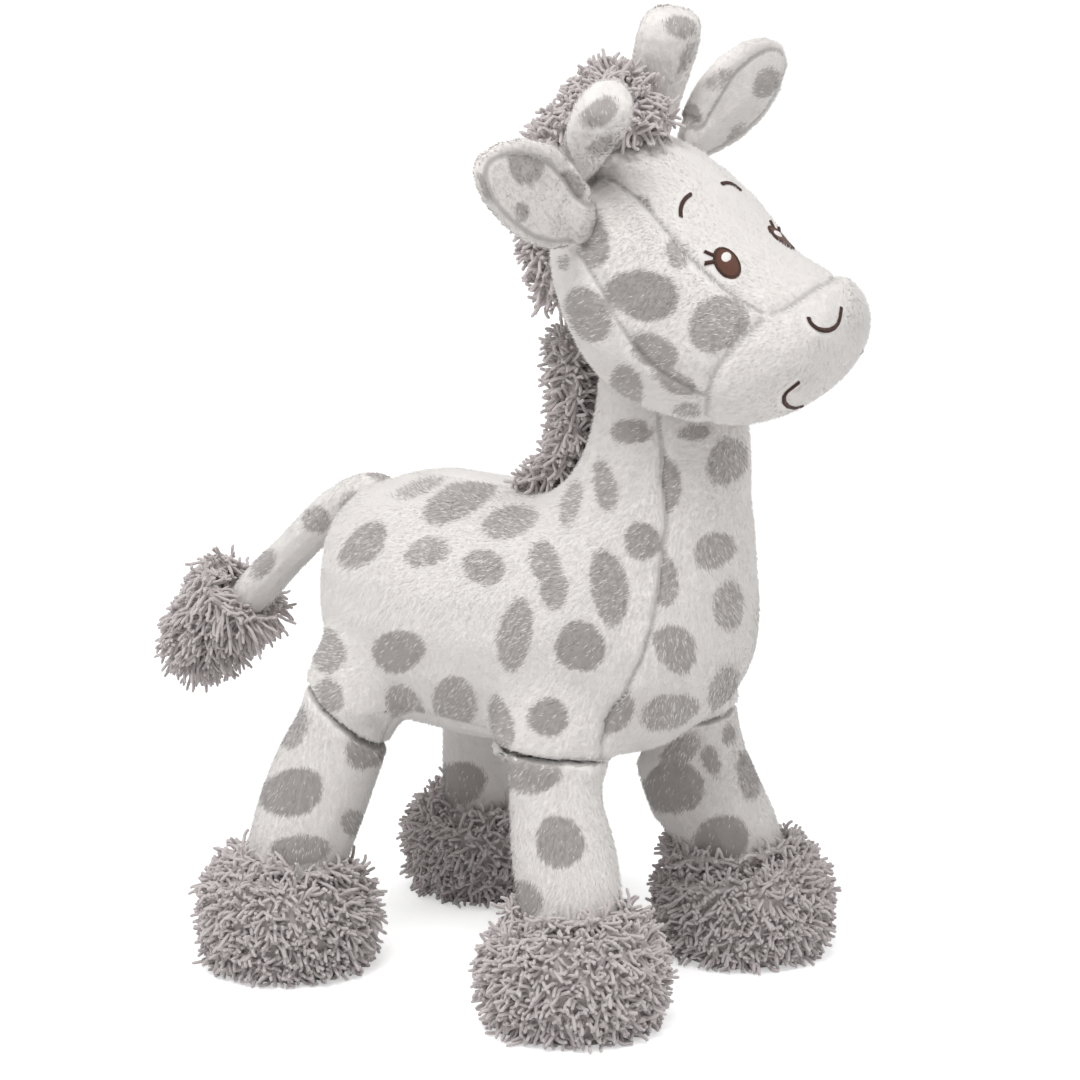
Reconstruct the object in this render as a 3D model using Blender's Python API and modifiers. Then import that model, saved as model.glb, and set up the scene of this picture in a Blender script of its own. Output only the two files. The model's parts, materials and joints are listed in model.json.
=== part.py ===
"""A standing plush giraffe, modelled the way it is sewn.

Plush fabric panels lie over fibre stuffing. The body and neck are two side panels, a chest panel and a
belly panel. The head has two cheeks, a forehead panel and a muzzle. Legs, ears, horns and tail are
separate stuffed pieces sewn on at flexible seams, and the mane, the tail tuft and the boots are chenille.

The giraffe faces -Y, its right side is -X, and it stands on the plane Z = 0. Lengths are in metres.
The shapes are first laid out about the middle of the body, and then the whole toy is moved so that the
middle of its outline stands over the origin.
"""
import math

import bmesh
import bpy
from mathutils import Matrix, Vector

MM = 0.001
DEGREE = math.pi / 180

# Cloth, seams and cutting
FABRIC = 2 * MM
SEAM_GAP = 0.3 * MM
SEAM_PLAY = 0.8 * MM
OVERRUN = 40 * MM
SOLE_FLAT = 0.5 * MM
STUFFING_SLACK = 2.5 * MM

# Body and neck
BELLY_HEIGHT = 71 * MM
BODY_LENGTH = 140 * MM
BODY_WIDTH = 102 * MM
BODY_DEPTH = 81 * MM
NECK_LENGTH = 60 * MM
NECK_WIDTH = 51 * MM
NECK_BALL_RADIUS = 27.4 * MM
BELLY_PANEL_WIDTH = 72 * MM
BELLY_PANEL_RISE = 15 * MM

# Head, measured from the middle of the neck seam
HEAD_LENGTH = 90 * MM
HEAD_WIDTH = 92 * MM
HEAD_HEIGHT = 88 * MM
HEAD_TURN = 7.5 * DEGREE
HEAD_TILT = -8 * DEGREE

# Ears
EAR_LENGTH = 46 * MM
EAR_WIDTH = 31 * MM
EAR_LEAF = 3 * MM
EAR_CUP = 9 * MM
EAR_ROOT_RADIUS = 2.4 * MM

# Horns
HORN_LENGTH = 36 * MM
HORN_WIDTH = 23 * MM
HORN_DEPTH = 19 * MM
HORN_ROOT_RADIUS = 8 * MM
HORN_SWAY = 3.6 * MM

# Legs and boots
HIP_RADIUS = 19.8 * MM
HIP_EASE = 0.6 * MM
LEG_RADIUS = 18.3 * MM
BOOT_RADIUS = 30 * MM
BOOT_HEIGHT = 43 * MM

# Tail and its tuft
TAIL_LENGTH = 80 * MM
TAIL_RADIUS = 8.6 * MM
TUFT_LENGTH = 48 * MM
TUFT_RADIUS = 19 * MM
TUFT_DROP = 47 * DEGREE

# Mane
MANE_WIDTH = 48 * MM

# Body sections from rump to chest: (back y, back z, belly y, belly z, half width, squareness).
# y is a share of the body length, z of the body depth above the belly, width of the body width.
TRUNK_SECTION_SHARES = (
    (0.50, 0.70, 0.49, 0.36, 0.14, 2.0),
    (0.47, 0.89, 0.46, 0.16, 0.32, 2.2),
    (0.36, 0.99, 0.34, 0.05, 0.44, 2.4),
    (0.16, 1.00, 0.14, 0.00, 0.49, 2.5),
    (-0.04, 0.99, -0.09, 0.00, 0.50, 2.5),
    (-0.14, 1.04, -0.36, 0.01, 0.49, 2.4),
    (-0.19, 1.12, -0.55, 0.19, 0.44, 2.2),
)
# Neck sections going up: y is a share of the body length, z of the neck length above the back,
# width of the neck width.
NECK_SECTION_SHARES = (
    (-0.22, 0.33, -0.60, -0.67, 0.70, 2.1),
    (-0.23, 0.53, -0.60, -0.20, 0.56, 2.0),
    (-0.235, 0.77, -0.585, 0.22, 0.50, 2.0),
    (-0.235, 1.30, -0.575, 0.95, 0.49, 2.0),
)
# Middle of the neck seam, about which the head moves: y of the body, z of the neck
NECK_PIVOT_SHARES = (-0.393, 0.467)
# The wad of fibre in the neck seam: how far up the ball it starts, its stem's radius and depth
NECK_WAD_SHARES = (0.5, 0.45, 0.5)

# Head sections from the back of the skull to the muzzle, about the neck seam: (crown y, crown z,
# jaw y, jaw z, half width, squareness, egg). Egg narrows the crown side and widens the jaw side.
HEAD_SECTION_SHARES = (
    (0.29, 0.64, 0.29, 0.42, 0.174, 2.0, 0.00),
    (0.29, 0.86, 0.20, 0.23, 0.348, 2.2, 0.00),
    (0.19, 1.00, 0.08, 0.07, 0.457, 2.2, 0.05),
    (0.01, 0.99, -0.08, 0.01, 0.500, 2.2, 0.10),
    (-0.19, 0.86, -0.22, 0.00, 0.478, 2.2, 0.16),
    (-0.365, 0.64, -0.345, 0.01, 0.413, 2.4, 0.10),
    (-0.53, 0.55, -0.445, 0.035, 0.370, 2.4, 0.10),
    (-0.635, 0.50, -0.555, 0.08, 0.315, 2.4, 0.10),
    (-0.70, 0.385, -0.665, 0.19, 0.207, 2.2, 0.00),
)

# Chest panel's edge, going up: (height in body depths above the belly, half width in body widths)
CHEST_EDGE_SHARES = (
    (-0.3, 0.36),
    (0.1, 0.35),
    (0.4, 0.325),
    (0.7, 0.27),
    (1.0, 0.22),
    (1.4, 0.205),
    (2.2, 0.205),
)
CHEST_BACK_SHARE = -0.36
BELLY_REAR_SHARE = 0.36

# Forehead panel's edge from above: (y of the head length, half width of the head width)
FOREHEAD_EDGE_SHARES = (
    (0.13, 0.20),
    (0.0, 0.31),
    (-0.18, 0.33),
    (-0.38, 0.27),
    (-0.95, 0.26),
)
FOREHEAD_BASE_SHARE = 0.34
# A point on the muzzle seam, (y, z) of the head, and how far the seam leans from upright
MUZZLE_SEAM_SHARES = (-0.445, 0.277)
MUZZLE_SEAM_LEAN = 36 * DEGREE

# A round top that fits a socket: angles above the joint at which its sections lie
DOME_ANGLES = (65 * DEGREE, 20 * DEGREE)
# Leg tube below the hip: (share of the way to the ankle, share of the leg's radius)
LEG_PROFILE_SHARES = (
    (0.45, 1.00),
    (1.00, 0.99),
    (1.50, 0.98),
)
ANKLE_SHARE = 0.7
CUFF_SHARE = 0.5

# Boot from the floor up: (height share, radius share)
BOOT_PROFILE_SHARES = (
    (-0.03, 0.80),
    (0.12, 0.98),
    (0.46, 1.04),
    (0.84, 0.92),
    (1.00, 0.66),
)
SOLE_SHARE = 0.7

# The haunch or shoulder over a hip, going up from the hip: (hip radii up, radius share)
HAUNCH_PROFILE_SHARES = (
    (-0.35, 0.94),
    (0.05, 1.00),
    (0.65, 0.98),
    (1.25, 0.80),
    (1.70, 0.45),
)
HAUNCH_LEAN_SHARE = 0.22

# Ear leaf from root to tip: (length share, half width share, half thickness share)
EAR_PROFILE_SHARES = (
    (-0.045, 0.31, 0.24),
    (0.06, 0.36, 0.40),
    (0.42, 0.54, 0.52),
    (0.82, 0.40, 0.50),
    (1.00, 0.13, 0.24),
)
EAR_SLOT_SHARE = 0.72

# Horn from its round root to the tip: (length share, half width share, half depth share)
HORN_PROFILE_SHARES = (
    (0.26, 0.36, 0.41),
    (0.68, 0.52, 0.52),
    (0.93, 0.46, 0.45),
    (1.00, 0.24, 0.26),
)
HORN_MOUTH_SHARE = 0.5

# Tail's middle line from its root: (back, down) shares of the tail's length
TAIL_PATH_SHARES = (
    (0.05, 0.0),
    (0.17, 0.05),
    (0.34, 0.16),
    (0.50, 0.34),
    (0.65, 0.53),
    (0.72, 0.62),
)
# Tuft along its own axis: (length share, radius share)
TUFT_PROFILE_SHARES = (
    (0.00, 0.58),
    (0.10, 0.84),
    (0.38, 1.03),
    (0.70, 0.92),
    (0.93, 0.58),
    (1.00, 0.30),
)

# Crown mane, about the neck seam, in shares of the head: (outer y, outer z, inner y, inner z),
# then its half width as a share of the mane's width
CROWN_MANE_SHARES = (
    (-0.07, 1.00, -0.05, 0.90, 0.24),
    (0.02, 1.15, 0.04, 0.90, 0.38),
    (0.17, 1.26, 0.19, 0.93, 0.42),
    (0.37, 1.16, 0.26, 0.88, 0.42),
    (0.48, 0.92, 0.26, 0.78, 0.38),
    (0.50, 0.60, 0.24, 0.52, 0.34),
    (0.46, 0.34, 0.24, 0.36, 0.26),
)
# Neck mane going down to the withers: y of the body length, z in neck lengths above the back
NECK_MANE_SHARES = (
    (-0.10, 0.80, -0.24, 0.78, 0.24),
    (-0.08, 0.56, -0.26, 0.52, 0.28),
    (-0.07, 0.26, -0.22, 0.14, 0.28),
    (0.00, 0.12, -0.08, -0.08, 0.26),
    (0.07, 0.04, 0.04, -0.10, 0.16),
)

RIGHT = -1
LEFT = 1
SIDE_NAMES = {RIGHT: "right", LEFT: "left"}

# Each ear and horn sits a little differently, as hand sewing leaves it
EAR_ROOT_SHARES = {RIGHT: (0.39, 0.025, 0.80), LEFT: (0.368, 0.025, 0.86)}
EAR_RISE = {RIGHT: 31 * DEGREE, LEFT: 22 * DEGREE}
EAR_SWEEP = {RIGHT: 12 * DEGREE, LEFT: -12 * DEGREE}
HORN_ROOT_SHARES = {RIGHT: (0.25, 0.14, 0.905), LEFT: (0.25, 0.14, 0.945)}
HORN_LEAN = {RIGHT: 36 * DEGREE, LEFT: 17 * DEGREE}
HORN_TWIST = {RIGHT: 78 * DEGREE, LEFT: -10 * DEGREE}
HORN_SPLAY = {RIGHT: 24 * DEGREE, LEFT: 0 * DEGREE}

# Hip: (x of the body width, y of the body length, z in body depths above the belly)
HIP_SHARES = {"front": (0.345, -0.275, 0.055), "rear": (0.335, 0.275, 0.10)}
# Boot's middle on the floor: (x of the body width, y of the body length)
FOOT_SHARES = {"front": (0.447, -0.38), "rear": (0.509, 0.38)}
HIP_SEAM_LEAN = {"front": 0 * DEGREE, "rear": 32 * DEGREE}
LEG_SWING = 12 * DEGREE
# Shares of the forward swing at which a leg's own form is taken out of the body
SWEPT_STEPS = {"front": (0.5, 0.75, 1.0), "rear": ()}
TAIL_ROOT_SHARES = (0.425, 0.925)

LIMB_COLUMNS = 6
STUFFING_COLUMNS = 8
BOOT_COLUMNS = 8
TRUNK_COLUMNS = 10
BALL_COLUMNS = 16
SHARP_EDGE = 40 * DEGREE
WELD = 0.01 * MM

PLUSH = (0.80, 0.77, 0.74, 1.0)
PLAIN_PLUSH = (0.83, 0.81, 0.79, 1.0)
LINING = (0.84, 0.82, 0.80, 1.0)
CHENILLE = (0.42, 0.39, 0.39, 1.0)
FIBRE = (0.90, 0.90, 0.88, 1.0)
CLOTH_ROUGHNESS = 0.95


def clear_scene():
    """Remove what the file held before."""
    for item in list(bpy.data.objects):
        bpy.data.objects.remove(item)


def new_collection(name):
    """Add a collection to the scene."""
    collection = bpy.data.collections.new(name)
    bpy.context.scene.collection.children.link(collection)
    return collection


def pivot(name, place, rotation, parent):
    """Add an empty on a joint, placed in its parent's frame."""
    empty = bpy.data.objects.new(name, None)
    PARTS.objects.link(empty)
    empty.parent = parent
    empty.matrix_local = Matrix.Translation(place) @ rotation
    return empty


def as_part(item, colour):
    """Turn a cutter into a piece of the toy, with its own material."""
    material = bpy.data.materials.new(item.name)
    material.use_nodes = True
    shader = material.node_tree.nodes["Principled BSDF"]
    shader.inputs["Base Color"].default_value = colour
    shader.inputs["Roughness"].default_value = CLOTH_ROUGHNESS
    item.data.materials.append(material)
    CUTTERS.objects.unlink(item)
    PARTS.objects.link(item)
    item.hide_render = False
    item.display_type = "TEXTURED"
    return item


def from_bmesh(name, mesh_edit, parent):
    """Finish a bmesh as a cutter, which as_part may turn into a piece."""
    bmesh.ops.recalc_face_normals(mesh_edit, faces=mesh_edit.faces)
    mesh = bpy.data.meshes.new(name)
    mesh_edit.to_mesh(mesh)
    mesh_edit.free()
    item = bpy.data.objects.new(name, mesh)
    CUTTERS.objects.link(item)
    item.parent = parent
    item.hide_render = True
    item.display_type = "WIRE"
    return item


def boolean(item, operation, *cutters):
    """Add a Boolean modifier for each cutter. The exact solver loses faces on the panels."""
    for cutter in cutters:
        modifier = item.modifiers.new(operation.title(), "BOOLEAN")
        modifier.operation = operation
        modifier.object = cutter
        modifier.solver = "MANIFOLD"
    return item


def section(centre, across, up, squareness=2.0, egg=0.0, cup=0.0):
    """One section of a loft: its middle, its two half axes and how far its sides bend back."""
    return centre, across, up, squareness, egg, cup


def signed_power(value, power):
    """Raise a number's size to a power and keep its sign."""
    return math.copysign(abs(value) ** power, value)


def ring(one_section, columns):
    """Cage points round a section, standing out by what one level of subdivision takes away."""
    centre, across, up, squareness, egg, cup = one_section
    outward = 3 / (2 + math.cos(2 * math.pi / columns))
    points = []
    for index in range(columns):
        angle = 2 * math.pi * index / columns
        sideways = outward * signed_power(math.cos(angle), 2 / squareness)
        upward = outward * signed_power(math.sin(angle), 2 / squareness)
        bend = up.normalized() * (cup * sideways ** 2)
        points.append(centre + across * (sideways * (1 - egg * upward)) + up * upward + bend)
    return points


def loft(name, sections, columns, parent, grow=0.0):
    """A soft form: a cage lofted through unlike sections, rounded, then grown or shrunk."""
    mesh_edit = bmesh.new()
    rings = []
    for one_section in sections:
        rings.append([mesh_edit.verts.new(point) for point in ring(one_section, columns)])
    for lower, upper in zip(rings, rings[1:]):
        for index in range(columns):
            after = (index + 1) % columns
            mesh_edit.faces.new((lower[index], lower[after], upper[after], upper[index]))
    mesh_edit.faces.new(rings[0])
    mesh_edit.faces.new(rings[-1])
    item = from_bmesh(name, mesh_edit, parent)
    rounding = item.modifiers.new("Rounding", "SUBSURF")
    rounding.levels = 1
    rounding.render_levels = 1
    if grow:
        offset = item.modifiers.new("Offset", "DISPLACE")
        offset.strength = grow
        offset.mid_level = 0.0
    return item


def along(points, radii):
    """Round sections along a path of points, each square to the path."""
    sections = []
    for index, (point, radius) in enumerate(zip(points, radii)):
        before = points[max(index - 1, 0)]
        after = points[min(index + 1, len(points) - 1)]
        way = (after - before).normalized()
        across = Vector((1, 0, 0))
        across = (across - way * across.dot(way)).normalized()
        sections.append(section(point, across * radius, way.cross(across) * radius))
    return sections


def dome(radius, axis):
    """Middles and radii of the sections of a round end, along the way that the axis points."""
    points = [axis * (radius * math.sin(angle)) for angle in DOME_ANGLES]
    radii = [radius * math.cos(angle) for angle in DOME_ANGLES]
    return points, radii


def ball(name, radius, place, parent):
    """A faceted ball with its points on the radius."""
    mesh_edit = bmesh.new()
    bmesh.ops.create_uvsphere(mesh_edit, u_segments=BALL_COLUMNS, v_segments=BALL_COLUMNS // 2,
                              radius=radius)
    bmesh.ops.translate(mesh_edit, verts=mesh_edit.verts, vec=place)
    return from_bmesh(name, mesh_edit, parent)


def socket(name, radius, place, parent):
    """A faceted ball whose flats clear the radius by the seam gap."""
    flatness = math.cos(math.pi / BALL_COLUMNS) ** 2
    return ball(name, (radius + SEAM_GAP) / flatness, place, parent)


def drum(name, radius, low, high, matrix, parent):
    """A cylinder along Z between two heights, then placed by a matrix."""
    mesh_edit = bmesh.new()
    bmesh.ops.create_cone(mesh_edit, cap_ends=True, segments=BALL_COLUMNS, radius1=radius,
                          radius2=radius, depth=high - low)
    bmesh.ops.translate(mesh_edit, verts=mesh_edit.verts, vec=Vector((0, 0, (low + high) / 2)))
    bmesh.ops.transform(mesh_edit, verts=mesh_edit.verts, matrix=matrix)
    return from_bmesh(name, mesh_edit, parent)


def block(name, low, high, matrix, parent):
    """A box between two corners, then placed by a matrix."""
    mesh_edit = bmesh.new()
    bmesh.ops.create_cube(mesh_edit, size=1)
    bmesh.ops.scale(mesh_edit, verts=mesh_edit.verts, vec=high - low)
    bmesh.ops.translate(mesh_edit, verts=mesh_edit.verts, vec=(low + high) / 2)
    bmesh.ops.transform(mesh_edit, verts=mesh_edit.verts, matrix=matrix)
    return from_bmesh(name, mesh_edit, parent)


def prism(name, right_edge, sweep, parent):
    """A prism whose outline is an edge and its mirror image in X, swept by one vector."""
    left_edge = [Vector((-point.x, point.y, point.z)) for point in reversed(right_edge)]
    mesh_edit = bmesh.new()
    face = mesh_edit.faces.new([mesh_edit.verts.new(point) for point in right_edge + left_edge])
    swept = bmesh.ops.extrude_face_region(mesh_edit, geom=[face])
    moved = [item for item in swept["geom"] if isinstance(item, bmesh.types.BMVert)]
    bmesh.ops.translate(mesh_edit, verts=moved, vec=sweep)
    return from_bmesh(name, mesh_edit, parent)


def half_space(name, side, reach, parent):
    """The space on one side of the middle seam."""
    near = side * SEAM_GAP / 2
    far = side * reach
    low = Vector((min(near, far), -reach, -reach))
    high = Vector((max(near, far), reach, reach))
    return block(name, low, high, Matrix.Identity(4), parent)


def body_point(back, up):
    """A point on the middle plane: back in body lengths, up in body depths above the belly."""
    return Vector((0, back * BODY_LENGTH, BELLY_HEIGHT + up * BODY_DEPTH))


def neck_point(back, up):
    """A point on the middle plane: back in body lengths, up in neck lengths above the back."""
    return Vector((0, back * BODY_LENGTH, BELLY_HEIGHT + BODY_DEPTH + up * NECK_LENGTH))


def head_point(back, up):
    """A point on the head's middle plane, in head lengths and head heights from the neck seam."""
    return Vector((0, back * HEAD_LENGTH, up * HEAD_HEIGHT))


def between(upper, lower, half_width, *shape):
    """A section that spans two points of a middle plane."""
    return section((upper + lower) / 2, Vector((half_width, 0, 0)), (upper - lower) / 2, *shape)


def body_sections():
    """Sections of the body and the neck, from the rump over the chest to the top of the neck."""
    sections = []
    for back_y, back_z, belly_y, belly_z, width, squareness in TRUNK_SECTION_SHARES:
        upper = body_point(back_y, back_z)
        lower = body_point(belly_y, belly_z)
        sections.append(between(upper, lower, width * BODY_WIDTH, squareness))
    for back_y, back_z, throat_y, throat_z, width, squareness in NECK_SECTION_SHARES:
        upper = neck_point(back_y, back_z)
        lower = neck_point(throat_y, throat_z)
        sections.append(between(upper, lower, width * NECK_WIDTH, squareness))
    return sections


def hip_place(end, side):
    """The middle of a hip, on which its leg turns."""
    out, back, up = HIP_SHARES[end]
    return body_point(back, up) + Vector((side * out * BODY_WIDTH, 0, 0))


def foot_place(end, side):
    """The middle of a boot on the floor."""
    out, back = FOOT_SHARES[end]
    return Vector((side * out * BODY_WIDTH, back * BODY_LENGTH, 0))


def chest_zone(name, grow):
    """The space of the chest panel, between the two seams that run down the front."""
    front = -BODY_LENGTH - OVERRUN
    edge = []
    for up, out in CHEST_EDGE_SHARES:
        height = BELLY_HEIGHT + up * BODY_DEPTH
        edge.append(Vector((-out * BODY_WIDTH - grow, front, height)))
    depth = CHEST_BACK_SHARE * BODY_LENGTH + grow - front
    return prism(name, edge, Vector((0, depth, 0)), TOY)


def belly_zone(name, grow):
    """The space of the belly panel, under the body between the legs."""
    reach = BELLY_PANEL_WIDTH / 2 + grow
    front = CHEST_BACK_SHARE * BODY_LENGTH + SEAM_GAP - grow
    low = Vector((-reach, front, -OVERRUN))
    high = Vector((reach, BELLY_REAR_SHARE * BODY_LENGTH + grow,
                   BELLY_HEIGHT + BELLY_PANEL_RISE + grow))
    return block(name, low, high, Matrix.Identity(4), TOY)


def hip_space(end, side):
    """What a hip takes out of the body: a socket, the room below the leg's seam, and what the leg sweeps."""
    place = hip_place(end, side)
    label = f"{end}_{SIDE_NAMES[side]}"
    turn = Matrix.Translation(place) @ Matrix.Rotation(HIP_SEAM_LEAN[end], 4, "X")
    clear = HIP_RADIUS + FABRIC + OVERRUN / 8
    below = drum(f"{label}_below", clear, -BELLY_HEIGHT, -SEAM_GAP, turn, TOY)
    spaces = [socket(f"{label}_socket", HIP_RADIUS, place, TOY), below]
    for step in SWEPT_STEPS[end]:
        angle = -step * LEG_SWING
        swung = pivot(f"{label}_swung_{step}", place, Matrix.Rotation(angle, 4, "X"), TOY)
        spaces.append(leg_form(f"{label}_swept_{step}", end, side, swung, SEAM_GAP))
    return spaces


def haunch(end, side, grow):
    """The haunch or shoulder that covers the top of a leg."""
    radius = HIP_RADIUS + FABRIC
    points = []
    radii = []
    for up, share in HAUNCH_PROFILE_SHARES:
        lean = max(up, 0) * HAUNCH_LEAN_SHARE * radius
        points.append(hip_place(end, side) + Vector((-side * lean, 0, up * radius)))
        radii.append(share * radius)
    name = f"{end}_{SIDE_NAMES[side]}_haunch"
    return loft(name, along(points, radii), STUFFING_COLUMNS, TOY, grow)


def haunches(grow):
    """All four haunches and shoulders."""
    return [haunch(end, side, grow) for end in HIP_SHARES for side in SIDE_NAMES]


def over_neck(name):
    """The space above the neck seam, outside the ball at the top of the neck."""
    middle = neck_point(*NECK_PIVOT_SHARES)
    reach = Vector((NECK_WIDTH, NECK_WIDTH, 0))
    zone = block(name, middle - reach, middle + reach + Vector((0, 0, 2 * NECK_LENGTH)),
                 Matrix.Identity(4), TOY)
    start = NECK_WAD_SHARES[0] * NECK_BALL_RADIUS
    top = drum(name + "_top", NECK_BALL_RADIUS + OVERRUN, start, NECK_LENGTH + OVERRUN,
               Matrix.Translation(middle), TOY)
    inside = boolean(ball(name + "_ball", NECK_BALL_RADIUS, middle, TOY), "DIFFERENCE", top)
    return boolean(zone, "DIFFERENCE", inside)


def build_body():
    """Panels and stuffing of the body and neck."""
    sections = body_sections()
    outer = loft("body_outer", sections, TRUNK_COLUMNS, TOY)
    boolean(outer, "UNION", *haunches(0.0))
    cavity = loft("body_cavity", sections, TRUNK_COLUMNS, TOY, -FABRIC)
    boolean(cavity, "UNION", *haunches(-FABRIC))
    spaces = [space for end in HIP_SHARES for side in SIDE_NAMES for space in hip_space(end, side)]
    spaces.append(tail_form("tail_socket", TAIL_PIVOT, SEAM_PLAY))
    spaces.append(over_neck("over_neck"))
    chest_cut = chest_zone("chest_cut", SEAM_GAP)
    belly_cut = belly_zone("belly_cut", SEAM_GAP)

    reach = BODY_LENGTH + BELLY_HEIGHT + BODY_DEPTH + NECK_LENGTH
    for side, name in SIDE_NAMES.items():
        panel = half_space(f"{name}_side_panel", side, reach, TOY)
        boolean(panel, "INTERSECT", outer)
        boolean(panel, "DIFFERENCE", cavity, chest_cut, belly_cut, *spaces)
        as_part(panel, PLUSH)

    chest = boolean(chest_zone("chest_panel", 0.0), "INTERSECT", outer)
    as_part(boolean(chest, "DIFFERENCE", cavity, belly_cut, *spaces), PLUSH)
    belly = boolean(belly_zone("belly_panel", 0.0), "INTERSECT", outer)
    as_part(boolean(belly, "DIFFERENCE", cavity, *spaces), PLUSH)

    core = loft("body_stuffing", sections, STUFFING_COLUMNS, TOY, -FABRIC - STUFFING_SLACK)
    stem = neck_wad_stem("stem_space", SEAM_GAP, TOY, neck_point(*NECK_PIVOT_SHARES))
    as_part(boolean(core, "DIFFERENCE", stem, *spaces), FIBRE)


def neck_wad_stem(name, grow, parent, middle):
    """The round stem of the neck's wad, which turns in the stuffing below it."""
    start, width, depth = (share * NECK_BALL_RADIUS for share in NECK_WAD_SHARES)
    return drum(name, width + grow, -depth - grow, start + width / 2, Matrix.Translation(middle), parent)


def build_neck(neck):
    """The wad of fibre in the neck seam, which turns with the head."""
    start = NECK_WAD_SHARES[0] * NECK_BALL_RADIUS
    reach = 2 * NECK_BALL_RADIUS
    low = Vector((-reach, -reach, start + SEAM_GAP))
    high = Vector((reach, reach, reach))
    cap = block("neck_stuffing", low, high, Matrix.Identity(4), neck)
    boolean(cap, "INTERSECT", ball("neck_cap", NECK_BALL_RADIUS, Vector(), neck))
    stem = neck_wad_stem("neck_stem", 0.0, neck, Vector())
    as_part(boolean(cap, "UNION", stem), FIBRE)


def head_sections():
    """Sections of the head about the neck seam."""
    sections = []
    for crown_y, crown_z, jaw_y, jaw_z, width, squareness, egg in HEAD_SECTION_SHARES:
        upper = head_point(crown_y, crown_z)
        lower = head_point(jaw_y, jaw_z)
        sections.append(between(upper, lower, width * HEAD_WIDTH, squareness, egg))
    return sections


def forehead_zone(name, grow, head):
    """The space of the forehead panel, from the crown to the muzzle."""
    base = FOREHEAD_BASE_SHARE * HEAD_HEIGHT - grow
    edge = []
    for back, out in FOREHEAD_EDGE_SHARES:
        edge.append(Vector((-out * HEAD_WIDTH - grow, back * HEAD_LENGTH, base)))
    edge[0].y += grow
    return prism(name, edge, Vector((0, 0, HEAD_HEIGHT + OVERRUN)), head)


def muzzle_zone(name, grow, head):
    """The space in front of the muzzle seam."""
    turn = Matrix.Rotation(MUZZLE_SEAM_LEAN, 4, "X")
    low = Vector((-HEAD_WIDTH, -HEAD_LENGTH, -HEAD_HEIGHT))
    high = Vector((HEAD_WIDTH, grow, HEAD_HEIGHT))
    return block(name, low, high, Matrix.Translation(head_point(*MUZZLE_SEAM_SHARES)) @ turn, head)


def build_head(head):
    """Panels and stuffing of the head, in the frame of the neck seam."""
    sections = head_sections()
    outer = loft("head_outer", sections, TRUNK_COLUMNS, head)
    cavity = loft("head_cavity", sections, TRUNK_COLUMNS, head, -FABRIC)
    spaces = [socket("neck_socket", NECK_BALL_RADIUS, Vector(), head)]
    for side, name in SIDE_NAMES.items():
        half_slot = EAR_SLOT_SHARE * EAR_WIDTH / 2
        spaces.append(drum(f"{name}_ear_slot", EAR_ROOT_RADIUS + SEAM_GAP, -half_slot, half_slot,
                           Matrix.Identity(4), EAR_PIVOTS[side]))
        spaces.append(horn_form(f"{name}_horn_socket", side, SEAM_PLAY))
    forehead_cut = forehead_zone("forehead_cut", SEAM_GAP, head)
    muzzle_cut = muzzle_zone("muzzle_cut", SEAM_GAP, head)

    reach = HEAD_LENGTH + HEAD_HEIGHT
    for side, name in SIDE_NAMES.items():
        panel = half_space(f"{name}_cheek_panel", side, reach, head)
        boolean(panel, "INTERSECT", outer)
        boolean(panel, "DIFFERENCE", cavity, forehead_cut, muzzle_cut, *spaces)
        as_part(panel, PLUSH)

    forehead = boolean(forehead_zone("forehead_panel", 0.0, head), "INTERSECT", outer)
    as_part(boolean(forehead, "DIFFERENCE", cavity, muzzle_cut, *spaces), PLAIN_PLUSH)
    muzzle = boolean(muzzle_zone("muzzle_panel", 0.0, head), "INTERSECT", outer)
    as_part(boolean(muzzle, "DIFFERENCE", cavity, spaces[0]), PLAIN_PLUSH)

    core = loft("head_stuffing", sections, STUFFING_COLUMNS, head, -FABRIC - STUFFING_SLACK)
    as_part(boolean(core, "DIFFERENCE", *spaces), FIBRE)


def build_ear(side):
    """An ear: a spotted outer leaf and a pale lining, cupped forwards.

    The frame of the ear's root has X outwards along the ear, Z along the root and Y to the back.
    """
    for name, back, colour in (("outer", 1, PLUSH), ("lining", -1, LINING)):
        sections = []
        for length, width, thickness in EAR_PROFILE_SHARES:
            half = thickness * EAR_LEAF
            centre = Vector((length * EAR_LENGTH, back * (half + SEAM_GAP / 2), 0))
            cup = -EAR_CUP * width ** 2 * max(length, 0)
            sections.append(section(centre, Vector((0, 0, width * EAR_WIDTH)), Vector((0, half, 0)),
                                    2.0, 0.0, cup))
        leaf = loft(f"{SIDE_NAMES[side]}_ear_{name}", sections, LIMB_COLUMNS, EAR_PIVOTS[side])
        as_part(leaf, colour)


def horn_form(name, side, grow):
    """A horn's form: a round root, a narrow stem and a knob, grown or shrunk."""
    axis = Vector((0, 0, -1))
    points, radii = dome(HORN_ROOT_RADIUS, axis)
    sections = along(points, radii)
    sections = [section(each[0], Vector((each[1].length, 0, 0)), Vector((0, each[2].length, 0)))
                for each in sections]
    for length, width, depth in HORN_PROFILE_SHARES:
        sections.append(section(Vector((0, 0, length * HORN_LENGTH)),
                                Vector((width * HORN_WIDTH, 0, 0)),
                                Vector((0, depth * HORN_DEPTH, 0))))
    return loft(name, sections, LIMB_COLUMNS, HORN_PIVOTS[side], grow)


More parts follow.
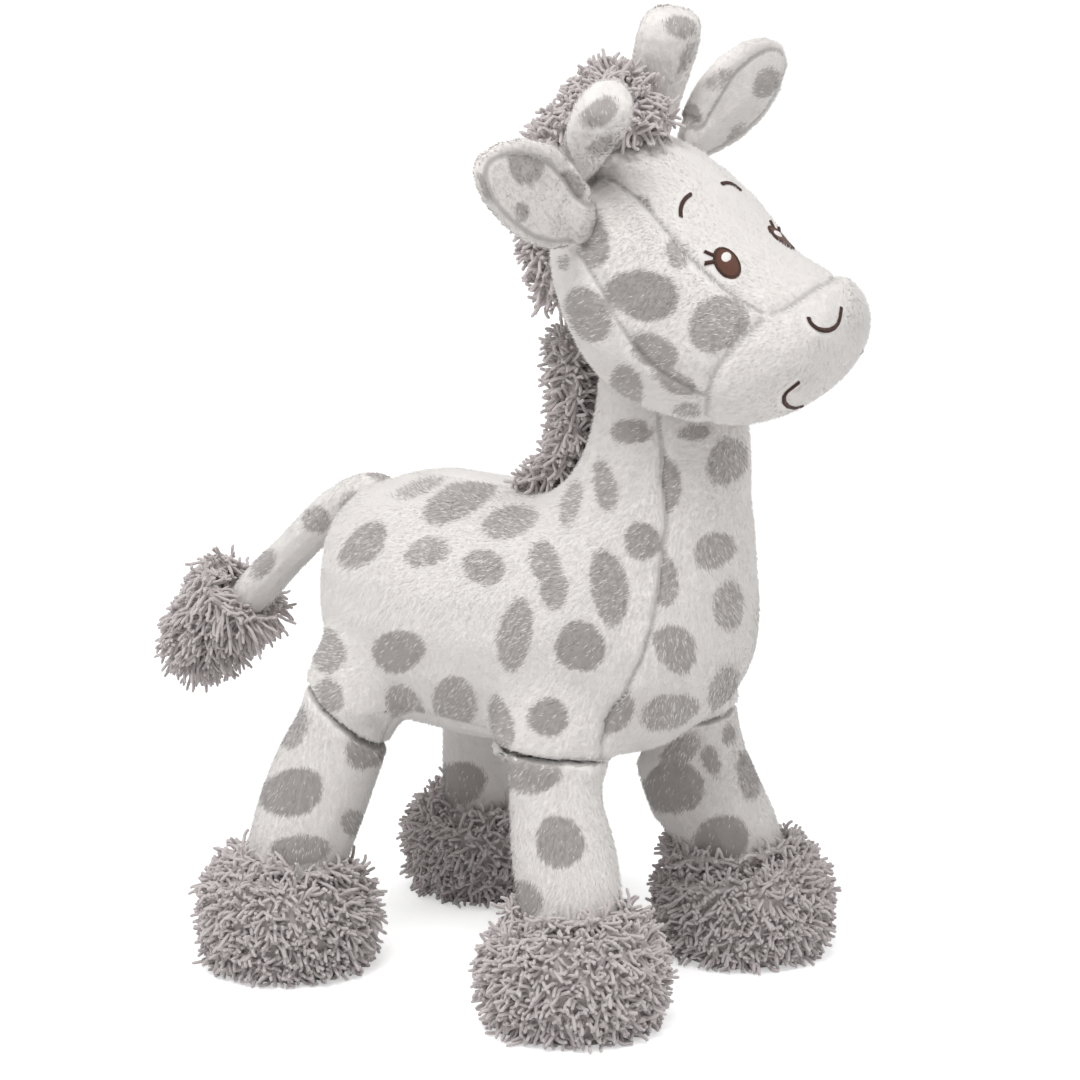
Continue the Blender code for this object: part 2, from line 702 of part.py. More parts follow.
def build_horn(side):
    """A horn: a knobbed cover and its stuffing, standing in a socket of the head."""
    label = SIDE_NAMES[side]
    cover = horn_form(f"{label}_horn_cover", side, 0.0)
    hollow = horn_form(f"{label}_horn_hollow", side, -FABRIC)
    mouth = drum(f"{label}_horn_mouth", HORN_MOUTH_SHARE * HORN_ROOT_RADIUS, -HORN_LENGTH, 0.0,
                 Matrix.Identity(4), HORN_PIVOTS[side])
    as_part(boolean(cover, "DIFFERENCE", hollow, mouth), PLUSH)
    as_part(horn_form(f"{label}_horn_stuffing", side, -FABRIC - SEAM_GAP), FIBRE)


def leg_form(name, end, side, frame, grow):
    """A leg's form from its round top to inside its boot, about the hip, grown or shrunk."""
    points, radii = dome(HIP_RADIUS - HIP_EASE, Vector((0, 0, 1)))
    foot = foot_place(end, side) - hip_place(end, side)
    ankle = foot + Vector((0, 0, ANKLE_SHARE * BOOT_HEIGHT))
    for share, width in LEG_PROFILE_SHARES:
        below = Vector((0, 0, -max(share - 1, 0) * BOOT_HEIGHT))
        points.append(ankle * min(share, 1) + below)
        radii.append(width * LEG_RADIUS)
    return loft(name, along(points, radii), LIMB_COLUMNS, frame, grow)


def build_leg(end, side):
    """A leg: its cover and stuffing, its chenille boot and the sole."""
    label = f"{end}_{SIDE_NAMES[side]}"
    frame = pivot(f"{label}_hip", hip_place(end, side), Matrix.Identity(4), TOY)
    foot = foot_place(end, side) - hip_place(end, side)
    reach = Vector((2 * BOOT_RADIUS, 2 * BOOT_RADIUS, 0))
    depth = Vector((0, 0, OVERRUN + BOOT_HEIGHT))

    cover = leg_form(f"{label}_leg_cover", end, side, frame, 0.0)
    hollow = leg_form(f"{label}_leg_hollow", end, side, frame, -FABRIC)
    cuff_end = foot + Vector((0, 0, CUFF_SHARE * BOOT_HEIGHT))
    cuff = block(f"{label}_cuff", cuff_end - reach - depth, cuff_end + reach, Matrix.Identity(4), frame)
    as_part(boolean(cover, "DIFFERENCE", hollow, cuff), PLUSH)
    as_part(leg_form(f"{label}_leg_stuffing", end, side, frame, -FABRIC - SEAM_GAP), FIBRE)

    points = [foot + Vector((0, 0, up * BOOT_HEIGHT - SOLE_FLAT)) for up, _ in BOOT_PROFILE_SHARES]
    radii = [share * BOOT_RADIUS for _, share in BOOT_PROFILE_SHARES]
    boot = loft(f"{label}_boot", along(points, radii), BOOT_COLUMNS, frame)
    leg_space = leg_form(f"{label}_leg_space", end, side, frame, SEAM_GAP)
    ground = block(f"{label}_ground", foot - reach - depth, foot + reach, Matrix.Identity(4), frame)
    sole_radius = SOLE_SHARE * BOOT_RADIUS
    sole_space = drum(f"{label}_sole_space", sole_radius + SEAM_GAP, -OVERRUN, FABRIC + SEAM_GAP,
                      Matrix.Translation(foot), frame)
    as_part(boolean(boot, "DIFFERENCE", ground, leg_space, sole_space), CHENILLE)
    sole = drum(f"{label}_sole", sole_radius, 0.0, FABRIC, Matrix.Translation(foot), frame)
    as_part(sole, CHENILLE)


def tail_points():
    """The tail's middle line below its root, about the root."""
    return [Vector((0, back, -down)) * TAIL_LENGTH for back, down in TAIL_PATH_SHARES]


def tail_form(name, frame, grow):
    """The tail's tube with its round root, grown or shrunk."""
    points, radii = dome(TAIL_RADIUS, Vector((0, -1, 0)))
    points += tail_points()
    radii += [TAIL_RADIUS] * len(TAIL_PATH_SHARES)
    return loft(name, along(points, radii), LIMB_COLUMNS, frame, grow)


def build_tail():
    """The tail: its tube on a round root, and the chenille tuft over its end."""
    as_part(tail_form("tail_cover", TAIL_PIVOT, 0.0), PLUSH)
    start = tail_points()[-2]
    way = Vector((0, math.cos(TUFT_DROP), -math.sin(TUFT_DROP)))
    points = [start + way * (share * TUFT_LENGTH) for share, _ in TUFT_PROFILE_SHARES]
    radii = [share * TUFT_RADIUS for _, share in TUFT_PROFILE_SHARES]
    tuft = loft("tail_tuft", along(points, radii), LIMB_COLUMNS, TAIL_PIVOT)
    as_part(boolean(tuft, "DIFFERENCE", tail_form("tail_space", TAIL_PIVOT, SEAM_GAP)), CHENILLE)


def mane(name, rows, place, backing, parent):
    """A strip of chenille mane, laid over the fabric behind it."""
    sections = []
    for outer_y, outer_z, inner_y, inner_z, width in rows:
        outer = place(outer_y, outer_z)
        inner = place(inner_y, inner_z)
        sections.append(between(outer, inner, width * MANE_WIDTH))
    strip = loft(name, sections, LIMB_COLUMNS, parent)
    return as_part(boolean(strip, "DIFFERENCE", backing), CHENILLE)


def build_manes(head):
    """The chenille mane: one strip down the neck and one over the crown."""
    body_space = loft("body_space", body_sections(), TRUNK_COLUMNS, TOY, SEAM_GAP)
    strip = mane("neck_mane", NECK_MANE_SHARES, neck_point, body_space, TOY)
    boolean(strip, "DIFFERENCE", socket("wad_space", NECK_BALL_RADIUS, neck_point(*NECK_PIVOT_SHARES), TOY))
    head_space = loft("head_space", head_sections(), TRUNK_COLUMNS, head, SEAM_GAP)
    crown = mane("crown_mane", CROWN_MANE_SHARES, head_point, head_space, head)
    for side, name in SIDE_NAMES.items():
        space = horn_form(f"{name}_horn_space", side, HORN_SWAY)
        boolean(crown, "DIFFERENCE", space)


def head_pivots(head):
    """The roots of the ears and the horns, in the frame of the head."""
    ears = {}
    horns = {}
    for side, name in SIDE_NAMES.items():
        out, back, up = EAR_ROOT_SHARES[side]
        place = head_point(back, up) + Vector((side * out * HEAD_WIDTH, 0, 0))
        facing = Matrix.Rotation(math.pi if side == RIGHT else 0.0, 4, "Z")
        sweep = Matrix.Rotation(side * EAR_SWEEP[side], 4, "Z")
        rise = Matrix.Rotation(-EAR_RISE[side], 4, "Y")
        flip = Matrix.Rotation(math.pi if side == RIGHT else 0.0, 4, "X")
        ears[side] = pivot(f"{name}_ear_root", place, sweep @ facing @ rise @ flip, head)
        out, back, up = HORN_ROOT_SHARES[side]
        place = head_point(back, up) + Vector((side * out * HEAD_WIDTH, 0, 0))
        lean = Matrix.Rotation(HORN_LEAN[side], 4, "X")
        twist = Matrix.Rotation(HORN_TWIST[side], 4, "Z")
        splay = Matrix.Rotation(side * HORN_SPLAY[side], 4, "Y")
        horns[side] = pivot(f"{name}_horn_root", place, splay @ lean @ twist, head)
    return ears, horns


def finish_meshes():
    """Apply the modifiers of each piece and shade its round faces smooth."""
    bpy.context.view_layer.update()
    depsgraph = bpy.context.evaluated_depsgraph_get()
    pieces = [item for item in PARTS.objects if item.type == "MESH"]
    meshes = [bpy.data.meshes.new_from_object(item.evaluated_get(depsgraph)) for item in pieces]
    for item, mesh in zip(pieces, meshes):
        item.modifiers.clear()
        item.data = mesh
        mesh_edit = bmesh.new()
        mesh_edit.from_mesh(mesh)
        bmesh.ops.dissolve_degenerate(mesh_edit, dist=WELD, edges=mesh_edit.edges)
        bmesh.ops.triangulate(mesh_edit, faces=mesh_edit.faces, ngon_method="BEAUTY")
        mesh_edit.to_mesh(mesh)
        mesh_edit.free()
        mesh.shade_smooth()
        mesh.set_sharp_from_angle(angle=SHARP_EDGE)
    return pieces


def stand_over_origin(pieces):
    """Move the toy so that the middle of its outline stands over the origin."""
    points = [item.matrix_world @ vertex.co for item in pieces for vertex in item.data.vertices]
    low = Vector([min(point[axis] for point in points) for axis in range(3)])
    high = Vector([max(point[axis] for point in points) for axis in range(3)])
    TOY.location = Vector((-(low.x + high.x) / 2, -(low.y + high.y) / 2, -low.z))


clear_scene()
PARTS = new_collection("plush_giraffe")
CUTTERS = new_collection("cutters")
TOY = bpy.data.objects.new("toy", None)
PARTS.objects.link(TOY)
NECK = pivot("neck_seam", neck_point(*NECK_PIVOT_SHARES), Matrix.Rotation(HEAD_TURN, 4, "Z"), TOY)
HEAD = pivot("head_seam", Vector(), Matrix.Rotation(HEAD_TILT, 4, "Y"), NECK)
EAR_PIVOTS, HORN_PIVOTS = head_pivots(HEAD)
TAIL_PIVOT = pivot("tail_root", body_point(*TAIL_ROOT_SHARES), Matrix.Identity(4), TOY)
build_body()
build_neck(NECK)
build_head(HEAD)
for ear_side in SIDE_NAMES:
    build_ear(ear_side)
    build_horn(ear_side)
for leg_end in HIP_SHARES:
    for leg_side in SIDE_NAMES:
        build_leg(leg_end, leg_side)
build_tail()
build_manes(HEAD)
stand_over_origin(finish_meshes())
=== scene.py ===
"""The looks of a standing plush giraffe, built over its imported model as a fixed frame.

Each sub-assembly is a class: the body with its legs, the head with its embroidered face, the ears, the
horns, the tail, and the chenille mane, tuft and boots. Every piece takes its place from the frame, in
metres, with +Z up and the giraffe facing -Y. Its right side is towards -X.
"""
from __future__ import annotations

import json
import logging
import math
import random
from dataclasses import dataclass, field
from enum import Enum

import bmesh
import bpy
import numpy as np
from mathutils import Matrix, Vector
from mathutils.bvhtree import BVHTree
from mathutils.kdtree import KDTree

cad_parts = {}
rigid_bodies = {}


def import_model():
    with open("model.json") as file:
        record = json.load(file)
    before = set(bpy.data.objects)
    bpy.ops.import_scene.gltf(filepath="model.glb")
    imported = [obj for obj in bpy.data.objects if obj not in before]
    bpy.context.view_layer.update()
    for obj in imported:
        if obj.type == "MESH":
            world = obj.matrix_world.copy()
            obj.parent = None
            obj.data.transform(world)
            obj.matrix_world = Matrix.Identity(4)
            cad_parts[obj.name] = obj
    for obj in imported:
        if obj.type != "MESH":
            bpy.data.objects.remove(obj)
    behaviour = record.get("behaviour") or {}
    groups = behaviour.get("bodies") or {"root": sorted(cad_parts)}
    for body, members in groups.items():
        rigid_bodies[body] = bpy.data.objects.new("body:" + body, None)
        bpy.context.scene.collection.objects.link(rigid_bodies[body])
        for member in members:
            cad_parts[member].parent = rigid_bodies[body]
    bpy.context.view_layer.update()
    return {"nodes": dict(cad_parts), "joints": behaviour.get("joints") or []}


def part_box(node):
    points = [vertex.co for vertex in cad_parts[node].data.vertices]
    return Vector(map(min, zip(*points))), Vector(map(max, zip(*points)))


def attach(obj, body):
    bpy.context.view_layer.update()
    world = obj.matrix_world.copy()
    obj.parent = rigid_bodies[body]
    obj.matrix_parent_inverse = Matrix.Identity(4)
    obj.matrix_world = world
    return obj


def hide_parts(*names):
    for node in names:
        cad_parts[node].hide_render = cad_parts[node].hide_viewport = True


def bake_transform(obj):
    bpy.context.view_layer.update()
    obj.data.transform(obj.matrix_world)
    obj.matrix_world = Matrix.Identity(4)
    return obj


LOG = logging.getLogger("plush_giraffe")
MM = 0.001
Colour = tuple[float, float, float, float]
Pixel = tuple[float, float]


class Side(Enum):
    """A side of the giraffe, and the sign of X there."""

    RIGHT = -1
    LEFT = 1

    @property
    def label(self) -> str:
        """The side's name in node and body names."""
        return self.name.lower()


class Slot(Enum):
    """Material slots of the record."""

    SPOTTED = "spotted_plush"
    PLAIN = "plain_plush"
    LINING = "ear_lining"
    CHENILLE = "grey_chenille"
    SOLE = "boot_sole"


@dataclass(frozen=True)
class PhotoView:
    """The camera's place in the photograph."""

    azimuth: float = math.radians(-53.17)
    elevation: float = math.radians(11.81)
    distance: float = 1.2
    lens: float = 129.0
    sensor: float = 36.0
    frame_pixels: float = 1080.0
    target: tuple[float, float, float] = (0.00604, -0.02023, 0.13399)

    @property
    def back(self) -> Vector:
        """The way from the target to the camera."""
        flat = math.cos(self.elevation)
        return Vector((math.sin(self.azimuth) * flat, -math.cos(self.azimuth) * flat,
                       math.sin(self.elevation)))

    @property
    def place(self) -> Vector:
        """Where the camera stands."""
        return Vector(self.target) + self.back * self.distance

    @property
    def pixel_size(self) -> float:
        """Width of a pixel at the target, in metres."""
        return self.sensor / self.frame_pixels / self.lens * self.distance

    @property
    def plane(self) -> tuple[Vector, Vector]:
        """The ways to the right and upwards in the photograph."""
        across = (-self.back).cross(Vector((0, 0, 1))).normalized()
        return across, across.cross(-self.back)

    def pixels_of(self, places: np.ndarray) -> np.ndarray:
        """The pixels at which the camera sees some places."""
        across, up = self.plane
        offset = places - np.array(self.place)
        depth = offset @ np.array(-self.back)
        reach = self.lens / self.sensor * self.frame_pixels / depth
        middle = self.frame_pixels / 2
        return np.stack([middle + offset @ np.array(across) * reach,
                         middle - offset @ np.array(up) * reach], 1)

    def ray(self, pixel: Pixel) -> Vector:
        """The way from the camera through a pixel of the photograph.

        Args:
            pixel: Columns from the left and rows from the top.

        Returns:
            A unit vector.
        """
        across, up = self.plane
        reach = self.lens / self.sensor * self.frame_pixels
        middle = self.frame_pixels / 2
        way = -self.back * reach + across * (pixel[0] - middle) - up * (pixel[1] - middle)
        return way.normalized()

    def build(self) -> bpy.types.Object:
        """Make the scene's camera."""
        camera = bpy.data.objects.new("camera", bpy.data.cameras.new("camera"))
        camera.data.lens = self.lens
        camera.data.sensor_width = self.sensor
        camera.location = self.place
        camera.rotation_euler = (-self.back).to_track_quat("-Z", "Y").to_euler()
        bpy.context.scene.collection.objects.link(camera)
        bpy.context.scene.camera = camera
        return camera


VIEW = PhotoView()


def clear_scene() -> None:
    """Remove every object, mesh, light and camera from the file."""
    for group in (bpy.data.objects, bpy.data.meshes, bpy.data.lights, bpy.data.cameras, bpy.data.materials):
        for item in list(group):
            group.remove(item)


clear_scene()
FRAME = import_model()


def add_node(tree: bpy.types.NodeTree, kind: str, inputs: dict | None = None, **settings) -> bpy.types.Node:
    """Add a node to a tree.

    Args:
        tree: The shader or geometry tree.
        kind: The node's type.
        inputs: Values or sockets by input name or index.
        **settings: Properties that are set before the inputs.

    Returns:
        The new node.
    """
    node = tree.nodes.new(kind)
    for key, value in settings.items():
        setattr(node, key, value)
    for key, value in (inputs or {}).items():
        if isinstance(value, bpy.types.NodeSocket):
            tree.links.new(value, node.inputs[key])
        else:
            node.inputs[key].default_value = value
    return node


def maths(tree: bpy.types.NodeTree, operation: str, *values, clamp: bool = False) -> bpy.types.NodeSocket:
    """Add a Math node.

    Args:
        tree: The tree.
        operation: The node's operation.
        *values: Numbers or sockets.
        clamp: Whether the result stays between 0 and 1.

    Returns:
        The node's output.
    """
    kind = "ShaderNodeMath"
    return add_node(tree, kind, dict(enumerate(values)), operation=operation, use_clamp=clamp).outputs[0]


def mix_colour(tree: bpy.types.NodeTree, factor, first, second, blend: str = "MIX") -> bpy.types.NodeSocket:
    """Add a colour Mix node and return its output."""
    node = add_node(tree, "ShaderNodeMix", data_type="RGBA", blend_type=blend)
    for index, value in ((0, factor), (6, first), (7, second)):
        if isinstance(value, bpy.types.NodeSocket):
            tree.links.new(value, node.inputs[index])
        else:
            node.inputs[index].default_value = value
    return node.outputs[2]


def new_object(name: str, mesh: bpy.types.Mesh) -> bpy.types.Object:
    """Add an object for a mesh to the scene."""
    item = bpy.data.objects.new(name, mesh)
    bpy.context.scene.collection.objects.link(item)
    return item


def apply_modifiers(item: bpy.types.Object) -> bpy.types.Object:
    """Turn an object's evaluated shape into its plain mesh."""
    bpy.context.view_layer.update()
    shape = item.evaluated_get(bpy.context.evaluated_depsgraph_get())
    mesh = bpy.data.meshes.new_from_object(shape)
    item.modifiers.clear()
    item.data = mesh
    mesh.name = item.name
    return item


def get_points(item: bpy.types.Object) -> np.ndarray:
    """The places of a mesh object's vertices, as rows."""
    places = np.zeros(len(item.data.vertices) * 3, np.float32)
    item.data.vertices.foreach_get("co", places)
    return places.reshape(-1, 3).astype(float)


def set_points(item: bpy.types.Object, places: np.ndarray) -> None:
    """Move a mesh object's vertices."""
    item.data.vertices.foreach_set("co", places.astype(np.float32).ravel())
    item.data.update()


def get_normals(item: bpy.types.Object) -> np.ndarray:
    """The vertex normals of a mesh object, as rows."""
    normals = np.zeros(len(item.data.vertices) * 3, np.float32)
    item.data.vertex_normals.foreach_get("vector", normals)
    return normals.reshape(-1, 3).astype(float)


def get_edges(item: bpy.types.Object) -> np.ndarray:
    """The vertex pairs of a mesh object's edges."""
    pairs = np.zeros(len(item.data.edges) * 2, np.int32)
    item.data.edges.foreach_get("vertices", pairs)
    return pairs.reshape(-1, 2)


def store(item: bpy.types.Object, name: str, values: np.ndarray, kind: str = "FLOAT") -> None:
    """Write a per-vertex attribute."""
    attribute = item.data.attributes.get(name) or item.data.attributes.new(name, kind, "POINT")
    key = "value" if kind == "FLOAT" else "vector"
    attribute.data.foreach_set(key, values.astype(np.float32).ravel())


def read(item: bpy.types.Object, name: str) -> np.ndarray:
    """Read a per-vertex number."""
    values = np.zeros(len(item.data.vertices), np.float32)
    item.data.attributes[name].data.foreach_get("value", values)
    return values.astype(float)


def tree_of(item: bpy.types.Object) -> BVHTree:
    """A search tree over an object's faces."""
    return BVHTree.FromObject(item, bpy.context.evaluated_depsgraph_get())


def ripple(places: np.ndarray, size: float, seed: int, octaves: int = 2) -> np.ndarray:
    """Smooth noise between about -1 and 1, as a sum of waves in random directions.

    Args:
        places: Points as rows.
        size: Length of the coarsest waves.
        seed: Seed of the directions.
        octaves: How many times the waves halve.

    Returns:
        A number for each point.
    """
    source = np.random.default_rng(seed)
    total = np.zeros(len(places))
    weight = 1.0
    for octave in range(octaves):
        ways = source.normal(size=(7, 3))
        ways *= 2 ** octave * math.tau / size / np.linalg.norm(ways, axis=1)[:, None]
        phases = source.uniform(0, math.tau, 7)
        total += weight * np.sin(places @ ways.T + phases).mean(1)
        weight /= 2
    return total * 1.8


def joint_place(name: str) -> Vector:
    """The place of one of the frame's joints."""
    return Vector(next(each for each in FRAME["joints"] if each["name"] == name)["pos_m"])


@dataclass(frozen=True)
class Nudge:
    """Where the photograph shows a stuffed form a little aside from the CAD's plain one, in pixels."""

    pixel: Pixel
    right: float
    down: float
    reach: float


NUDGES = {
    "body": (Nudge((312, 600), 12, 0, 75), Nudge((285, 770), -8, 0, 70), Nudge((760, 580), -4, 0, 110),
             Nudge((700, 790), -19, 0, 60), Nudge((648, 790), -24, 0, 32), Nudge((745, 715), -6, 0, 50),
             Nudge((450, 470), 0, -7, 80)),
    "torso": (Nudge((640, 742), 0, 8, 40),),
    "head": (Nudge((810, 240), -4, 4, 40),),
    "tail": (Nudge((300, 515), 9, 13, 75), Nudge((362, 475), 4, 10, 34)),
    "tail_tuft_backing": (Nudge((218, 630), -3, -16, 900),),
    "crown_mane_backing": (Nudge((545, 85), 14, 14, 50), Nudge((522, 290), 5, 20, 40)),
    "neck_mane_backing": (Nudge((550, 345), -12, -31, 42), Nudge((535, 400), 10, 0, 50),
                          Nudge((520, 450), 10, 6, 40)),
    "right_ear": (Nudge((530, 195), -17, 7, 900),),
    "right_horn": (Nudge((600, 120), -8, 2, 60),),
}


def nudge(item: bpy.types.Object, nudges: tuple[Nudge, ...]) -> None:
    """Shift the regions of a form softly to where the photograph shows them."""
    places = get_points(item)
    seen = VIEW.pixels_of(places)
    across, up = (np.array(way) * VIEW.pixel_size for way in VIEW.plane)
    shift = np.zeros_like(places)
    total = np.zeros(len(places))
    for each in nudges:
        weight = np.exp(-(np.linalg.norm(seen - np.array(each.pixel), axis=1) / each.reach) ** 2)
        shift += weight[:, None] * (across * each.right - up * each.down)
        total += weight
    set_points(item, places + shift / np.maximum(total, 1)[:, None])


def narrow(item: bpy.types.Object, root: Vector, slope: float, right: float, left: float) -> None:
    """Narrow a form about a line of the photograph.

    Args:
        item: The mesh object.
        root: A place on the line.
        slope: Angle of the line above the photograph's rows, in degrees.
        right: Share of the width that stays on the right of the line.
        left: Share that stays on the left.
    """
    across, up = VIEW.plane
    angle = math.radians(slope)
    way = np.array(across * math.sin(angle) - up * math.cos(angle))
    offset = (get_points(item) - np.array(root)) @ way
    share = np.where(offset > 0, right, left) - 1
    set_points(item, get_points(item) + (offset * share)[:, None] * way)


def fuse(name: str, nodes: dict[str, float], voxel: float, smoothing: int, swell: float,
         extra: bpy.types.Mesh | None = None) -> bpy.types.Object:
    """Fuse CAD pieces into one smooth closed form.

    Args:
        name: The new object's name.
        nodes: CAD nodes, and how far each grows before it is fused.
        voxel: Size of the fused mesh's faces.
        smoothing: Rounds of smoothing, which take away the facets of the frame.
        swell: How far the form grows at the end, to make up for the smoothing.
        extra: A closed mesh that is fused with them.

    Returns:
        The object.
    """
    joined = bmesh.new()
    if extra:
        joined.from_mesh(extra)
    for node, grow in nodes.items():
        piece = bmesh.new()
        piece.from_mesh(FRAME["nodes"][node].data)
        bmesh.ops.remove_doubles(piece, verts=piece.verts, dist=0.01 * MM)
        piece.normal_update()
        for vertex in piece.verts:
            vertex.co += vertex.normal * grow
        part = bpy.data.meshes.new(node)
        piece.to_mesh(part)
        piece.free()
        joined.from_mesh(part)
        bpy.data.meshes.remove(part)
    mesh = bpy.data.meshes.new(name)
    joined.to_mesh(mesh)
    joined.free()
    item = new_object(name, mesh)
    remesh = item.modifiers.new("Fuse", "REMESH")
    remesh.mode = "VOXEL"
    remesh.voxel_size = voxel
    smooth = item.modifiers.new("Smooth", "SMOOTH")
    smooth.iterations = smoothing
    smooth.factor = 0.5
    apply_modifiers(item)
    keep_largest(item)
    set_points(item, get_points(item) + get_normals(item) * swell)
    if name in NUDGES:
        nudge(item, NUDGES[name])
    item.data.shade_smooth()
    return item


def smooth_near(item: bpy.types.Object, places: list[Vector], reach: float, rounds: int) -> None:
    """Smooth a mesh more close to some places.

    Args:
        item: The mesh object.
        places: Middles of the smoothed regions.
        reach: Radius at which the smoothing ends.
        rounds: Rounds of smoothing.
    """
    points = get_points(item)
    near = np.min([np.linalg.norm(points - np.array(place), axis=1) for place in places], axis=0)
    share = np.clip((reach - near) / (0.45 * reach), 0, 1)
    group = item.vertex_groups.new(name="near")
    for index in np.nonzero(share)[0]:
        group.add([int(index)], float(share[index]), "REPLACE")
    smooth = item.modifiers.new("Smooth", "SMOOTH")
    smooth.iterations = rounds
    smooth.factor = 0.5
    smooth.vertex_group = group.name
    apply_modifiers(item)
    item.vertex_groups.clear()


def keep_largest(item: bpy.types.Object) -> None:
    """Delete all but the largest connected piece of a mesh."""
    label = np.arange(len(item.data.vertices))
    pairs = get_edges(item)
    while True:
        low = np.minimum(label[pairs[:, 0]], label[pairs[:, 1]])
        before = label.copy()
        np.minimum.at(label, pairs[:, 0], low)
        np.minimum.at(label, pairs[:, 1], low)
        label = label[label]
        if (label == before).all():
            break
    names, counts = np.unique(label, return_counts=True)
    keep = names[counts.argmax()]
    mesh_edit = bmesh.new()
    mesh_edit.from_mesh(item.data)
    mesh_edit.verts.ensure_lookup_table()
    spare = [mesh_edit.verts[index] for index in np.nonzero(label != keep)[0]]
    bmesh.ops.delete(mesh_edit, geom=spare, context="VERTS")
    mesh_edit.to_mesh(item.data)
    mesh_edit.free()


@dataclass(frozen=True)
class Spot:
    """One printed spot, as the photograph shows it.

    Width and height are in pixels along its own axes, and the tilt is its turn to the left in degrees.
    Depth of tone runs from 0, pale, to 1, dark.
    """

    pixel: Pixel
    width: float
    height: float
    tilt: float = 0.0
    tone: float = 0.6


BODY_SPOTS = (
    Spot((364, 545), 61, 34, 40), Spot((460, 500), 80, 37, 25), Spot((428, 552), 46, 31, 20, 0.4),
    Spot((485, 567), 43, 37), Spot((511, 522), 61, 31, 20, 0.5), Spot((546, 562), 32, 44, 18),
    Spot((555, 590), 30, 40, 8), Spot((610, 587), 37, 83, 12, 0.8), Spot((643, 541), 36, 42, 25, 0.8),
    Spot((662, 578), 34, 58, 5, 0.7), Spot((662, 484), 43, 64, 0, 0.7), Spot((606, 486), 24, 52, 12),
    Spot((572, 503), 21, 49, -15, 0.3), Spot((727, 461), 40, 52, -15, 0.5), Spot((714, 550), 44, 38, 25),
    Spot((728, 605), 31, 55, -5, 0.4), Spot((675, 648), 42, 52, 20, 0.6), Spot((581, 646), 55, 49, -10, 1.0),
    Spot((516, 634), 37, 73, -8, 0.6), Spot((399, 651), 55, 44, 0, 0.9), Spot((329, 651), 34, 49, 15),
    Spot((456, 701), 44, 55, 8, 0.6), Spot((407, 708), 34, 58, 28, 0.6), Spot((502, 723), 26, 56, 12, 0.7),
    Spot((549, 717), 44, 38, 0, 1.0), Spot((613, 712), 54, 38, 40, 0.8), Spot((669, 711), 60, 38, 12, 0.5),
    Spot((724, 689), 28, 55, -18, 0.4), Spot((681, 750), 50, 27, 40, 0.4), Spot((626, 766), 43, 34, 20, 0.4),
    Spot((632, 431), 46, 24, 0, 0.8), Spot((695, 432), 34, 18, 0, 0.8),
    Spot((420, 488), 52, 16, 18, 0.2), Spot((318, 598), 12, 40, -10, 0.3),
)
LEG_SPOTS = (
    Spot((330, 695), 28, 36, 20, 0.6), Spot((294, 726), 28, 46, -18, 0.5), Spot((366, 750), 46, 37, 10, 0.9),
    Spot((292, 792), 70, 48, 8, 1.0), Spot((300, 850), 62, 34, 0, 0.8), Spot((354, 822), 26, 28, 30, 0.6),
    Spot((530, 770), 66, 50, 12, 0.8), Spot((560, 842), 54, 52, -30, 0.9), Spot((520, 900), 50, 40, 0, 0.9),
    Spot((500, 832), 18, 40, 0, 0.6), Spot((458, 783), 58, 46, 0, 1.0), Spot((452, 826), 30, 22, 0, 0.7),
    Spot((674, 787), 62, 58, 15, 0.9), Spot((711, 760), 18, 34, 15, 0.7), Spot((748, 775), 24, 50, 10, 0.7),
    Spot((722, 838), 62, 45, 5, 1.0), Spot((656, 825), 20, 35, 0, 0.6), Spot((729, 734), 14, 22, 0, 0.9),
)
HEAD_SPOTS = (
    Spot((595, 241), 30, 59, 4, 0.9), Spot((644, 295), 75, 53, -4, 1.0), Spot((589, 314), 44, 60, 22, 0.8),
    Spot((719, 324), 70, 52, 35, 0.7), Spot((655, 351), 54, 34, -35, 0.8), Spot((678, 252), 24, 34, 14, 0.5),
    Spot((645, 205), 13, 24, 30, 0.5), Spot((628, 386), 32, 48, 12, 0.8), Spot((676, 381), 56, 22, -28, 0.7),
    Spot((688, 410), 30, 16, 0, 0.6), Spot((589, 380), 16, 27, 0, 0.4), Spot((565, 262), 13, 16, 0, 0.3),
)
EAR_SPOTS = (
    Spot((526, 163), 36, 50, 25, 0.8), Spot((487, 187), 20, 32, 10, 0.8), Spot((522, 212), 16, 20, 0, 0.7),
    Spot((572, 186), 26, 34, 20, 0.8), Spot((691, 115), 22, 22, 0, 0.8), Spot((766, 83), 26, 34, -30, 0.8),
    Spot((718, 80), 32, 16, 30, 0.4), Spot((734, 137), 12, 34, -30, 0.5),
)
HORN_SPOTS = (
    Spot((600, 113), 42, 28, 40, 0.8), Spot((603, 145), 38, 17, 30, 0.7), Spot((680, 27), 35, 22, -15, 0.8),
    Spot((686, 58), 12, 34, -25, 0.4),
)
TAIL_SPOTS = (
    Spot((264, 563), 20, 34, -30, 0.6), Spot((317, 519), 26, 30, -30, 0.6), Spot((350, 500), 16, 24, -40, 0.3),
)
PHOTO_SPOTS = BODY_SPOTS + LEG_SPOTS + HEAD_SPOTS + EAR_SPOTS + HORN_SPOTS + TAIL_SPOTS


@dataclass
class Mark:
    """A spot laid on a skin: its middle and its two half axes in space."""

    centre: Vector
    across: Vector
    up: Vector
    tone: float
    panel: int
    wobble: float
    normal: Vector
    spot: Spot | None = None


